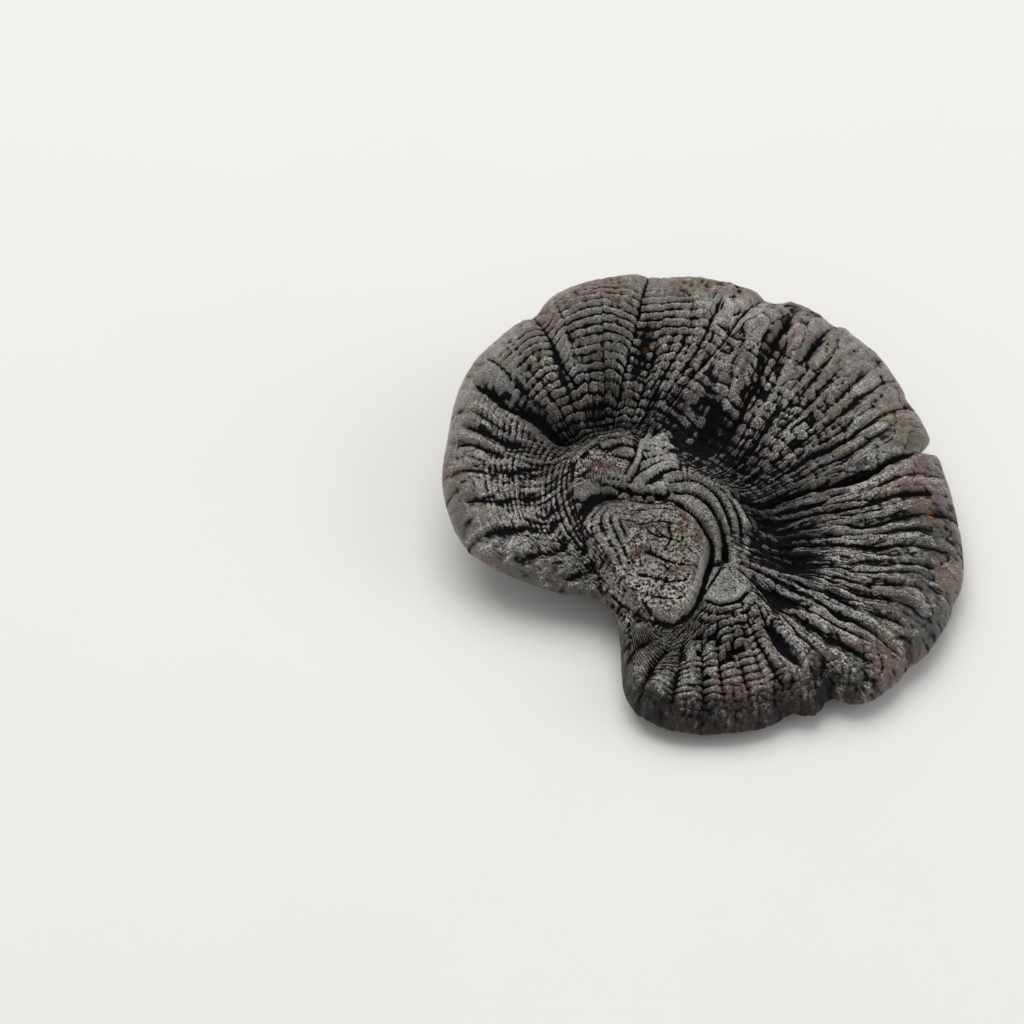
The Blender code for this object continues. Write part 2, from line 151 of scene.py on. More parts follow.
def blend_grid(grid: Array, fx: Array, fy: Array) -> Array:
    """Read a wrapped grid of random values smoothly between its corners.

    Args:
        grid: random values.
        fx, fy: places along both axes, in cells.

    Returns:
        Smooth values between the grid's extremes.
    """
    wide, high = grid.shape
    ix, iy = np.floor(fx).astype(int), np.floor(fy).astype(int)
    tx, ty = ease(fx - ix), ease(fy - iy)
    ix, iy = ix % wide, iy % high
    jx, jy = (ix + 1) % wide, (iy + 1) % high
    return ((grid[ix, iy] * (1 - tx) + grid[jx, iy] * tx) * (1 - ty)
            + (grid[ix, jy] * (1 - tx) + grid[jx, jy] * tx) * ty)


def lumps(x: Array, y: Array, size: float, number: int) -> Array:
    """Make smooth random relief in plan, with lumps this far apart, within about 1."""
    grid = draws(number).uniform(-1, 1, (PLAN_CELLS, PLAN_CELLS))
    return blend_grid(grid, (x + PLAN_REACH) / size, (y + PLAN_REACH) / size)


def swell(x: Array, y: Array) -> Array:
    """Work out the slow swell of the whole upper side."""
    return 0.4 * lumps(x, y, 11.0, 0)


def streaks(deg: Array, s: Array, round_cells: int, cells: int, number: int) -> Array:
    """Make random relief drawn out along the spokes, without a seam, within about 1."""
    grid = draws(number).uniform(-1, 1, (round_cells, cells + 8))
    return blend_grid(grid, np.mod(deg, 360) * round_cells / 360, s * cells + 2)


def nearest(a: Array, b: Array, shift: Array, own: Array) -> tuple[Array, Array, Array]:
    """Find the nearest of the grains that are scattered over a wrapped grid.

    Args:
        a, b: places, in cells.
        shift: where in its cell each grain lies.
        own: each grain's own number.

    Returns:
        The distances of the nearest grain and of the next, and the nearest one's number.
    """
    wide, high = own.shape
    ia, ib = np.floor(a).astype(int), np.floor(b).astype(int)
    near, second = np.full(a.shape, 9.0), np.full(a.shape, 9.0)
    number = np.zeros(a.shape)
    for i, j in product((-1, 0, 1), repeat=2):
        ca, cb = (ia + i) % wide, (ib + j) % high
        gap = np.hypot(ia + i + shift[ca, cb, 0] - a, ib + j + shift[ca, cb, 1] - b)
        closer = gap < near
        second = np.where(closer, near, np.minimum(second, gap))
        number = np.where(closer, own[ca, cb], number)
        near = np.where(closer, gap, near)
    return near, second, number


def pebbles(x: Array, y: Array, size: float, number: int) -> Array:
    """Cover the plan with small rounded grains.

    Args:
        x, y: plan places.
        size: spacing of the grains in millimetres.
        number: which random grains.

    Returns:
        0 in the joints between grains, up to about 1 on top of them.
    """
    rng, grid = draws(number), (PLAN_CELLS, PLAN_CELLS)
    shift, tall = rng.uniform(0.12, 0.88, (*grid, 2)), rng.uniform(0.45, 1.0, grid)
    near, second, top = nearest((x + PLAN_REACH) / size, (y + PLAN_REACH) / size, shift, tall)
    return top * np.clip((second - near) / 0.45, 0, 1) ** 0.6


def grains(a: Array, b: Array, round_cells: int, loose: Point,
           number: int) -> tuple[Array, Array, Array]:
    """Cover the chart with rounded grains that close on themselves round the cap.

    Args:
        a, b: places round the cap and along the spokes, in cells.
        round_cells: cells in a full turn.
        loose: how far a grain may leave its cell's middle, both ways.
        number: which random grains.

    Returns:
        0 in the joints and 1 on the grains, the same with rounded tops, and each grain's
        own number from 0 to 1.
    """
    rng, grid = draws(number), (round_cells, CHART_CELLS)
    shift = 0.5 + rng.uniform(-1, 1, (*grid, 2)) * loose
    near, second, own = nearest(a, b, shift, rng.uniform(0, 1, grid))
    ball = np.sqrt(np.clip(1 - (near / 0.74) ** 2, 0, 1))
    return np.clip((second - near) / 0.6, 0, 1) ** 0.7, ball, own


def soften(values: Array, rows: int, columns: int, times: int = 1) -> Array:
    """Average a grid that closes on itself along its second axis.

    Args:
        values: grid of rows from hub to rim and columns round it.
        rows, columns: reach of the average both ways.
        times: how often it is averaged.

    Returns:
        The averaged grid.
    """
    for _ in range(times):
        padded = np.concatenate([np.repeat(values[:1], rows, 0), values,
                                 np.repeat(values[-1:], rows, 0)])
        total = np.cumsum(np.concatenate([np.zeros((1, values.shape[1])), padded]), 0)
        mean = (total[2 * rows + 1:] - total[:-2 * rows - 1]) / (2 * rows + 1)
        wide = np.concatenate([mean[:, -columns:], mean, mean[:, :columns]], 1)
        total = np.cumsum(np.concatenate([np.zeros((len(wide), 1)), wide], 1), 1)
        values = (total[:, 2 * columns + 1:] - total[:, :-2 * columns - 1]) / (2 * columns + 1)
    return values


def smooth_chain(points: Sequence[Point], parts: int = 6) -> Array:
    """Draw a smooth line through a few plan points.

    Args:
        points: plan points.
        parts: pieces between two points.

    Returns:
        An array of plan points.
    """
    p = np.array([points[0], *points, points[-1]], float)
    t = (np.arange(parts) / parts)[:, None]
    out = [0.5 * (2 * b + (c - a) * t + (2 * a - 5 * b + 4 * c - d) * t**2
                  + (3 * b - a - 3 * c + d) * t**3)
           for a, b, c, d in zip(p[:-3], p[1:-2], p[2:-1], p[3:])]
    return np.concatenate([*out, p[-1:]])


def along(chain: Array, x: Array, y: Array) -> tuple[Array, Array]:
    """Measure how far plan places lie from a chain.

    Args:
        chain: plan points of the chain.
        x, y: plan places.

    Returns:
        The distance, and the nearest place along the chain from 0 to 1.
    """
    best, place = np.full(x.shape, 1e9), np.zeros(x.shape)
    run = np.hypot(*np.diff(chain, axis=0).T)
    done = np.concatenate([[0], np.cumsum(run)])
    for k, ((ax, ay), (bx, by)) in enumerate(zip(chain[:-1], chain[1:])):
        dx, dy = bx - ax, by - ay
        t = np.clip(((x - ax) * dx + (y - ay) * dy) / (dx * dx + dy * dy), 0, 1)
        gap = np.hypot(x - ax - t * dx, y - ay - t * dy)
        place = np.where(gap < best, (done[k] + t * run[k]) / done[-1], place)
        best = np.minimum(best, gap)
    return best, place


# ---- the cap's form ----

class Section(Enum):
    """How a ridge or groove looks when it is cut across."""

    ROUND = "round"     # full and steep at its foot
    SOFT = "soft"       # bell shaped
    SHARP = "sharp"     # straight sides to an edge


@dataclass(frozen=True)
class Crease:
    """A crease that runs along the spokes.

    The first three values are its spoke at s = 0.9, 0.6 and 0.4.
    """

    outer: float
    middle: float
    inner: float
    start: float
    end: float
    width: float
    depth: float
    lift: float = 0.0


@dataclass(frozen=True)
class Dome:
    """An oval swelling of the hub, in plan."""

    x: float
    y: float
    length: float
    width: float
    turn: float
    rise: float
    fullness: float = 0.6

    def relief(self, x: Array, y: Array) -> Array:
        """Work out the dome's height in millimetres at plan places."""
        a, b = oval(x, y, self.x, self.y, self.length, self.width, self.turn)
        return self.rise * np.clip(1 - a * a - b * b, 0, 1) ** self.fullness


@dataclass(frozen=True)
class Slab:
    """A raised place of the hub with a drawn outline, in plan."""

    outline: tuple[Point, ...]
    rise: float
    shoulder: float
    lean: float = 0.0       # how much softer the shoulder gets towards the left

    def inset(self, x: Array, y: Array) -> Array:
        """Measure how far inside the outline plan places lie.

        Args:
            x, y: plan places.

        Returns:
            Distances, negative outside.
        """
        chain = smooth_chain((*self.outline, self.outline[0]), 4)
        inside = np.zeros(x.shape, bool)
        for (ax, ay), (bx, by) in zip(chain[:-1], chain[1:]):
            if ay != by:
                crosses = (ay > y) != (by > y)
                inside ^= crosses & (x < ax + (bx - ax) * (y - ay) / (by - ay))
        return np.where(inside, 1, -1) * along(chain, x, y)[0]

    def relief(self, x: Array, y: Array) -> Array:
        """Work out the slab's height.

        Args:
            x, y: plan places.

        Returns:
            Heights in millimetres.
        """
        soft = self.shoulder * (1 + self.lean * step(6.0, 20.0, -x))
        run = 1 - np.clip(self.inset(x, y) / soft, 0, 1)
        return self.rise * np.sqrt(1 - run * run)


@dataclass(frozen=True)
class Welt:
    """A raised or, with a negative rise, sunken line on the hub, in plan."""

    points: tuple[Point, ...]
    half: float
    rise: float
    section: Section = Section.SOFT
    beads: float = 0.0
    taper: float = 1.0      # width at the end against the width at the start

    def relief(self, x: Array, y: Array) -> Array:
        """Work out the welt's height at plan places.

        Args:
            x, y: plan places.

        Returns:
            Heights in millimetres.
        """
        chain = smooth_chain(self.points)
        gap, place = along(chain, x, y)
        q = gap / (self.half * (1 + (self.taper - 1) * place))
        if self.section is Section.ROUND:
            shape = np.sqrt(np.clip(1 - q * q, 0, 1))
        elif self.section is Section.SHARP:
            shape = np.clip(1 - q, 0, 1)
        else:
            shape = np.exp(-q * q)
        ends = step(0.0, 0.08, place) * (1 - step(0.9, 1.0, place))
        ends = np.maximum(ends, 0.25)
        if self.beads:
            run = np.hypot(*np.diff(chain, axis=0).T).sum()
            wave = np.abs(np.sin(math.pi * place * run / self.beads))
            ends = ends * (0.55 + 0.45 * wave**0.6)
        return self.rise * shape * ends


ROUND, SHARP = Section.ROUND, Section.SHARP

# outline: spoke, radius from the origin
RIM = (
    (0, 72), (15, 71.5), (30, 72.5), (45, 74.5), (60, 74), (75, 72.5), (90, 73.5), (105, 77),
    (120, 81), (135, 81.5), (150, 83.5), (165, 80.5), (178, 79), (192, 73), (205, 58), (216, 47),
    (226, 45), (236, 51), (246, 66), (256, 70.5), (270, 70), (285, 68.5), (300, 72), (315, 72.8),
    (330, 73.2), (345, 73.5))
# notches in the outline: spoke, depth, half width in degrees
NOTCHES = (
    (20.8, 6, 1.5), (73.2, 4.2, 3.4), (58.7, 1.6, 2.2), (316.5, 1.2, 3), (296.5, 5, 3.8),
    (286, 2.2, 3.5), (99, 1.2, 4), (131, 2, 3), (34, 1, 2), (338, 0.8, 3))
# edge of the hub: spoke, x, y
HUB = (
    (0, 4, -14), (15, 4, -9), (30, 2, -1), (45, -1, 7), (60, -8, 12), (75, -18, 20), (90, -23, 25),
    (110, -28, 27), (130, -34, 25), (155, -40, 19), (180, -41, 5), (198, -38, -8), (208, -34, -16),
    (218, -29.5, -24.5), (226, -25.5, -31), (232, -22, -37), (240, -17, -43), (247, -12, -43),
    (254, -8, -38), (262, -4, -30), (270, -2, -24), (285, 0.5, -22), (310, 2, -20),
    (335, 3, -18.5))
# height of the upper side at s = 0, 0.2, 0.5, 0.85 and of the rim's edge
STATIONS = (0.0, 0.2, 0.5, 0.85, 1.0)
HEIGHTS = (
    (0, 17, 11, 17, 19, 9), (30, 17, 9.5, 20, 26, 18), (60, 17, 10, 24, 36, 30),
    (90, 17, 11, 28, 42, 38), (120, 17, 11, 27, 42, 38), (150, 17, 12, 25, 36, 31),
    (180, 17, 13, 22, 28, 22), (205, 18, 15, 18, 18, 14), (225, 18, 16, 15, 14, 12),
    (245, 18, 17, 17, 15, 7), (270, 18, 18, 17, 13, 5), (300, 18, 16.5, 17, 14.5, 6),
    (330, 17, 14.5, 17, 17.5, 8))
# bend of the spokes near the hub: spoke, degrees
BEND = (
    (0, 32), (15, 28), (30, 22), (45, 12), (60, 0), (68, 6), (75, 26), (85, 22), (104, 10),
    (118, 0), (133, -10), (153, -24), (168, -28), (190, -10), (210, 0), (250, 0), (285, 0),
    (300, 12), (322, 22), (345, 30))
CREASES = tuple(Crease(*row) for row in (
    (169.5, 168.5, 166, 0.4, 0.95, 1.4, 2.4), (165.5, 164, 164.5, 0.4, 0.92, 1.2, 2),
    (161.5, 160.3, 159.5, 0.32, 0.88, 1.3, 1.6), (154, 152, 149, 0.22, 0.92, 2.4, 4.6),
    (147, 146, 144.5, 0.45, 0.95, 0.9, 0.9), (140.3, 140, 139, 0.3, 0.75, 0.9, 0.9),
    (132.3, 130.5, 126.5, 0.38, 1, 1.5, 2.3), (126.2, 124.5, 122, 0.55, 0.95, 0.8, 0.9),
    (115, 114.5, 114, 0.3, 0.7, 0.9, 0.9), (103.5, 105, 107, 0.28, 1, 1.9, 3, 1.3),
    (97.5, 96.5, 94.5, 0.26, 0.62, 1.7, 2.6), (88, 87.5, 87, 0.35, 0.8, 0.9, 1),
    (83, 81.8, 80, 0.4, 0.92, 0.9, 1.2), (75, 76, 76.5, 0.24, 1, 1.1, 2.2, -1.6),
    (65.5, 63.5, 62.3, 0.3, 0.92, 1.2, 2.4), (62, 61.6, 60.8, 0.42, 0.84, 0.9, 1.6),
    (57, 54.8, 53.5, 0.66, 1, 1.2, 2.8), (50.5, 49.8, 49.5, 0.42, 0.88, 1, 1.3),
    (47, 46.5, 46.3, 0.36, 0.85, 0.9, 1.3), (42.5, 41, 41, 0.34, 0.95, 1, 1.3),
    (38.2, 37.5, 37.5, 0.3, 0.95, 1.1, 1.8), (34, 33.8, 33.5, 0.3, 0.9, 1, 1.4),
    (31, 30.5, 30, 0.24, 1, 1.2, 2.2), (26.3, 26, 25, 0.3, 0.82, 1, 1.3),
    (19.3, 17.4, 19.5, 0.28, 1, 1, 4.6, 1.4), (12.5, 12, 11.5, 0.45, 0.95, 1, 1.4),
    (6.2, 7.8, 7.5, 0.34, 0.95, 1.4, 2.2), (0.2, -0.8, 0.5, 0.36, 1, 1.3, 2.4),
    (-5.5, -5, -5, 0.4, 0.9, 1, 1.2), (-10.8, -9.5, -9.8, 0.34, 0.95, 1.4, 2.2),
    (-16.5, -17.8, -17.6, 0.24, 0.95, 1.2, 1.7), (-19.8, -21.5, -21.5, 0.28, 0.86, 1.3, 2.2),
    (-24.5, -26.2, -27, 0.24, 0.96, 1.2, 2.1), (-30.5, -31, -32, 0.22, 0.95, 1.5, 2.5),
    (-37, -37.2, -36.8, 0.45, 0.95, 1.2, 2.3), (-44, -43.2, -41.8, 0.26, 1, 1.3, 2.5),
    (-46.6, -47.6, -48.5, 0.44, 0.92, 1, 2.2), (-51, -53.2, -55.5, 0.22, 0.94, 1.9, 3.2),
    (-59.5, -61, -60.5, 0.4, 0.9, 1, 1.5), (-66, -68.6, -67.5, 0.36, 0.84, 2, 4),
    (-74.5, -75.6, -75.4, 0.3, 0.95, 1.3, 2.4), (-79, -79, -79, 0.4, 0.86, 1, 1.5),
    (-84, -84.5, -84.5, 0.4, 0.92, 1, 1.5), (-90.5, -91.2, -90.5, 0.34, 0.92, 1.2, 2),
    (-95.5, -96.5, -97.5, 0.34, 1, 1.3, 2), (-103, -104, -105, 0.3, 0.95, 1.6, 2.2),
    (-111, -112, -112, 0.3, 1, 1.8, 2.6), (-118, -119, -119, 0.3, 0.95, 1.6, 1.8),
    (-150, -150, -150, 0.2, 1, 2.4, 2.4), (-160, -160, -160, 0.2, 0.95, 2, 2),
    (-168, -168, -168, 0.2, 1, 2, 2.6), (-176, -176, -177, 0.25, 0.95, 1.6, 2),
    (176, 175.5, 174, 0.25, 1, 1.6, 2)))
# hollows between the folds: spoke, s, half width in degrees, in s, depth
HOLLOWS = (
    (148, 0.3, 8, 0.075, 2.6), (120, 0.33, 8, 0.06, 2.2), (99, 0.5, 4, 0.09, 2.2),
    (68, 0.33, 6, 0.1, 2), (35, 0.24, 9, 0.07, 2), (4, 0.24, 7, 0.06, 2.6),
    (-23.5, 0.27, 5, 0.06, 4.2), (-51, 0.31, 6.5, 0.08, 5), (-67.5, 0.6, 3, 0.1, 1.5),
    (70.5, 0.7, 4.6, 0.2, -2.2), (62, 0.42, 4.5, 0.12, 2.2), (50, 0.3, 10, 0.1, 2.2))
# pockets of the fan, sunk and painted dark as shade: spoke, s, half width in degrees, in s, depth
POCKETS = (
    (147.8, 0.48, 4, 0.15, 2), (141, 0.28, 11, 0.09, 2.2), (114, 0.3, 13, 0.085, 1.5),
    (101, 0.52, 2.4, 0.13, 1.2), (86, 0.34, 5, 0.09, 0.8), (70, 0.35, 7, 0.11, 0.6),
    (60, 0.28, 9, 0.08, 0.6), (8, 0.12, 9, 0.07, 0.6), (-12, 0.12, 7, 0.07, 0.6),
    (-30, 0.15, 5, 0.07, 0.6), (45, 0.25, 12, 0.07, 0.8), (22, 0.19, 10, 0.055, 0.8),
    (3, 0.2, 5, 0.06, 1), (-12, 0.22, 3.4, 0.06, 1.6), (-22, 0.32, 2.6, 0.12, 1.8),
    (-36, 0.46, 1.9, 0.13, 1.6), (-50, 0.3, 2.9, 0.15, 2), (164.5, 0.6, 1.8, 0.22, 1.4),
    (31, 0.42, 1.8, 0.12, 1.2), (8, 0.42, 1.6, 0.14, 1.2), (-67.5, 0.55, 2, 0.15, 1.4),
    (-79, 0.48, 1.6, 0.05, 1), (-5, 0.34, 1.6, 0.12, 1.2), (-29, 0.36, 1.4, 0.12, 1.2),
    (-43, 0.5, 1.4, 0.16, 1.2), (52, 0.44, 1.8, 0.1, 1), (132, 0.52, 1.6, 0.16, 1))
# heights of the fine relief: spoke, rings, beads, bark, knobs, s where rings end, cracked plates
FINE = (
    (170, 0.6, 0.55, 0.75, 0.5, 0.8, 0.4), (155, 0.85, 0.45, 0.5, 0.4, 0.86, 0.2),
    (140, 1.1, 0.48, 0.28, 0.3, 0.92, 0.1), (115, 1.2, 0.5, 0.22, 0.3, 0.94, 0.1),
    (100, 1.05, 0.85, 0.25, 0.3, 0.92, 0.1), (90, 0.75, 0.8, 0.45, 0.6, 0.86, 0.3),
    (80, 0.55, 0.7, 0.45, 0.8, 0.82, 0.7), (71, 0.45, 0.8, 0.45, 1.1, 0.8, 0.9),
    (60, 0.45, 0.95, 0.45, 0.7, 0.8, 0.6), (45, 0.45, 1.1, 0.6, 0.6, 0.84, 0.45),
    (30, 0.35, 0.9, 0.8, 0.5, 0.7, 0.5), (18, 0.25, 0.85, 1, 0.5, 0.56, 0.5),
    (0, 0.3, 0.9, 1.2, 0.5, 0.54, 0.5), (-20, 0.25, 0.85, 1.4, 0.5, 0.5, 0.5),
    (-45, 0.2, 0.65, 1.5, 0.5, 0.46, 0.5), (-62, 0.3, 0.65, 1.05, 0.4, 0.62, 0.5),
    (-74, 1.05, 0.8, 0.4, 0.4, 0.88, 0.2), (-95, 1.35, 0.65, 0.2, 0.3, 0.92, 0.1),
    (-112, 1.1, 0.6, 0.3, 0.3, 0.88, 0.2), (-150, 0.7, 0.5, 0.6, 0.4, 0.8, 0.3))
# growth rings between hub and rim: spoke, number
RINGS = (
    (170, 24), (120, 25), (100, 28), (80, 27), (72, 28), (50, 29), (20, 27), (0, 24), (-40, 22),
    (-70, 22), (-100, 22), (-140, 22))
HUMP = Slab(
    ((-21.5, 2.2), (-17.5, 1.6), (-13.2, 1.6), (-9.9, -0.6), (-6.6, -4.8), (-4.2, -9.4),
    (-2.2, -14.4), (-2.9, -18.9), (-4.3, -24), (-5.6, -29), (-7, -33.5), (-9.6, -38.6), (-14, -42),
    (-20, -41), (-27, -34), (-33, -25), (-38, -13), (-38, -3), (-32, 3)), 5.4, 3.8, 4.4)
FACET = Slab(
    ((-5.6, -33.6), (-2.6, -28.4), (0.8, -22.6), (2.4, -22.6), (5.8, -25.8), (8.4, -29.2),
    (8.6, -31.6), (4.5, -34.4), (-1.4, -34.6)), 0.9, 1.3)
DOMES = tuple(Dome(*row) for row in (
    (-32, 17, 9, 7, 150, 2), (-4, -3, 10, 6, 118, 0.8), (-25.9, 22.2, 3.6, 2, 0, 2, 0.4),
    (-18.6, 4.4, 1.5, 1, 10, 2.6, 0.5), (-22.4, 5, 1.9, 1.2, -20, 2.4, 0.5),
    (-26.2, 5.8, 2.2, 1.3, 30, 2, 0.5), (-30.4, 6.6, 2.6, 1.5, 10, 2, 0.5),
    (-36, 8, 7, 5.5, 0, 2.2, 1)))
WELTS = tuple(Welt(*row) for row in (
    # curled steps round the hump's upper right, from the inside outwards
    (((-14.6, 4.2), (-10.6, 3.2), (-7, 1.6), (-4, -1.6), (-2, -5.6), (-0.7, -10.5), (-0.3, -16)),
    3.3, 2.6, ROUND, 0, 0.55), (((-13.6, 6.6), (-9.6, 7.8), (-5.4, 7.6), (-1.8, 5), (0.6, 1),
    (2.3, -4), (3, -10.5)), 2.9, 2.6, ROUND, 0, 0.45), (((-14.6, 10.2), (-10.2, 12.9), (-5, 13),
    (-1, 10.8), (2, 6.4), (4.2, 1.1), (5.3, -4.6), (5.4, -9.6)), 2.6, 2.5, ROUND, 1.6, 0.55),
    (((1.6, 12.4), (4.6, 8.8), (6.9, 4.4), (8.7, -1.2), (8.9, -8.6)), 1.9, 2, ROUND, 1.7),
    (((6, 12), (9.2, 7.2), (11.2, 2.4), (12.2, -3)), 1.4, 1.3, ROUND, 1.7),
    # thin dark lines between them
    (((-12.7, 9.4), (-8.5, 10.7), (-4.2, 10.3), (-0.6, 7.4), (1.7, 2.9), (3.4, -2.4), (4.2, -8.6)),
    0.75, -2.2), (((-13, 5.4), (-9.4, 5.2), (-6, 5.2), (-2.8, 2.9), (-0.6, -0.7), (1.2, -5.4),
    (1.8, -11.6)), 0.7, -2.2), (((-5.6, 15.2), (-0.4, 13), (3.2, 8.7), (5.5, 3.6), (7, -1.8),
    (7.2, -8.6)), 0.6, -2), (((4.2, 13.2), (7.4, 8.2), (9.3, 3.2), (10.6, -2.8)), 0.5, -1.6),
    # feathered ledges between the strip and the valley
    (((-21.6, 11.6), (-17.8, 14.6), (-13.6, 17.8), (-9, 18.6)), 1.9, 2.8, ROUND), (((-20.8, 15.8),
    (-17, 19.2), (-13.2, 21.6), (-8.6, 22.2)), 1.8, 2.8, ROUND, 2.6), (((-20.4, 19.8),
    (-16.6, 22.8), (-12.8, 24.6), (-9.2, 25.2)), 1.8, 2.6, ROUND), (((-19.8, 23.6), (-16.2, 26.4),
    (-12, 27.8)), 1.7, 2.6, ROUND, 2.4), (((-19.2, 27.2), (-15.6, 29.8), (-11.6, 31)), 1.6, 2.4,
    ROUND), (((-18, 31), (-15.2, 33.2), (-11.8, 34.2)), 1.5, 2, ROUND, 2.2),
    # dark lines between the ledges
    (((-21.2, 13.7), (-17.4, 16.9), (-13.4, 19.7), (-8.8, 20.4)), 0.6, -2.2), (((-20.6, 17.8),
    (-16.8, 21), (-13, 23.1), (-8.9, 23.7)), 0.6, -2.2), (((-20.1, 21.7), (-16.4, 24.6),
    (-12.4, 26.2)), 0.6, -2.2), (((-19.5, 25.4), (-15.9, 28.1), (-11.8, 29.4)), 0.6, -2),
    (((-18.6, 29.1), (-15.4, 31.5), (-11.7, 32.6)), 0.6, -1.8),
    # fat ledges left of the strip
    (((-33, 25), (-27.6, 26.6), (-22.6, 26.4)), 1.5, 1.6, ROUND), (((-33.6, 28.2), (-28.6, 30.2),
    (-22.2, 29.9)), 1.5, 1.5, ROUND), (((-31.6, 31.6), (-27.3, 33.5), (-22, 33.6)), 1.3, 1.1,
    ROUND), (((-41.5, 18.6), (-37.6, 23.6), (-33.4, 26.8)), 1, 1.3, ROUND),
    # thin strip with a dark line on both sides
    (((-16.2, 38.4), (-19, 31.6), (-20.4, 26.6), (-21.9, 19), (-25.4, 11.6)), 1.1, 1.6, ROUND),
    (((-15.2, 38), (-17.8, 31.4), (-19.3, 26.4), (-20.8, 18.6), (-24.2, 11.4)), 0.35, -1.5),
    (((-17.2, 38.8), (-20.1, 31.9), (-21.6, 26.6), (-23.1, 19.4), (-26.6, 12.2)), 0.35, -1.5),
    # step down from the hump's smooth edge, and the line that sets its band off
    (((-13.4, 2.6), (-9.4, 0), (-5.8, -4.6), (-3.4, -9.6), (-1.4, -14.8), (-2.1, -19.2),
    (-3.5, -24.2), (-4.9, -29.2), (-7.4, -36.5)), 0.5, -1.5), (((-10.9, -1.8), (-7.4, -6.9),
    (-5.2, -12.1), (-5.1, -17), (-6.6, -24), (-8.8, -32)), 0.4, -0.8),
    # cracks of the smooth facet, and the arcs below it
    (((0.4, -22), (-2.6, -27.2), (-5.6, -32.4)), 0.4, -1.3, SHARP), (((2.2, -22), (4.5, -25.4),
    (7.6, -28)), 0.4, -1.2, SHARP), (((-3.4, -20.4), (0, -20)), 0.3, -0.6, SHARP), (((-5.6, -33.2),
    (-1.2, -34.9), (4.8, -33.2), (8.2, -29.2)), 0.7, -1.4), (((-6.4, -35.4), (-1.2, -37.2),
    (5.6, -35.4), (9.2, -31.4)), 1.35, 1.5, ROUND), (((-8.2, -38.8), (-1.3, -40.8), (7, -38.7),
    (11, -34.4)), 1.3, 1.4, ROUND, 2.4), (((-8.8, -42.3), (-1.6, -44.4), (8, -42.2),
    (12.4, -37.6)), 1.3, 1.2, ROUND, 2.4),
    # folds of the hump
    (((-24, -3), (-18, -1.2), (-12, -2.8)), 0.6, -0.9), (((-23, -9.5), (-17, -7.6), (-10, -9.8)),
    0.5, -1), (((-20, -13), (-12.5, -15), (-7.2, -20.5)), 0.6, -1.3), (((-14.5, -10), (-13.5, -14),
    (-15.8, -19)), 0.45, -0.9), (((-21, -19), (-14, -22.8), (-7.6, -24.4)), 0.6, -1.2),
    (((-16.5, -23), (-15, -27), (-17.5, -33)), 0.45, -0.9), (((-24, -26), (-15, -29.6),
    (-8.6, -28.4)), 0.6, -1), (((-20, -34), (-14, -35.4), (-9.5, -34)), 0.5, -0.8),
    (((-12.6, -17.6), (-9.6, -19.8), (-8.6, -23)), 1.6, 1), (((-17.6, -3.8), (-14.4, -5),
    (-10.4, -5.4)), 1.4, 0.8), (((-19, -27.4), (-14, -26.6), (-9.6, -26.4)), 1.2, 0.7),
    (((-26, -12), (-21, -14), (-18, -17)), 1.6, 0.9)))
# pits of the hub: x, y, half length, half width, depth
PITS = (
    (-20.5, 6.8, 5.2, 1.5, 5), (-16.4, 5.6, 2.6, 1.5, 3.4), (2, -15.6, 1.3, 3.2, 3.4),
    (-26.5, 8.6, 3, 1.2, 2.4), (-22.4, 3.6, 2.4, 1, 2))
# rough scars: x, y, half length, half width, turn
SCARS = ((-33.0, 18.5, 8.0, 5.6, 150),)
# smooth places that growth rings leave out: x, y, half length, half width, turn
SMOOTH = (
    (-4, 2, 17, 12.5, 118), (1, -26.5, 10.5, 8.2, 88), (-17, 21.5, 14, 7.6, 78))


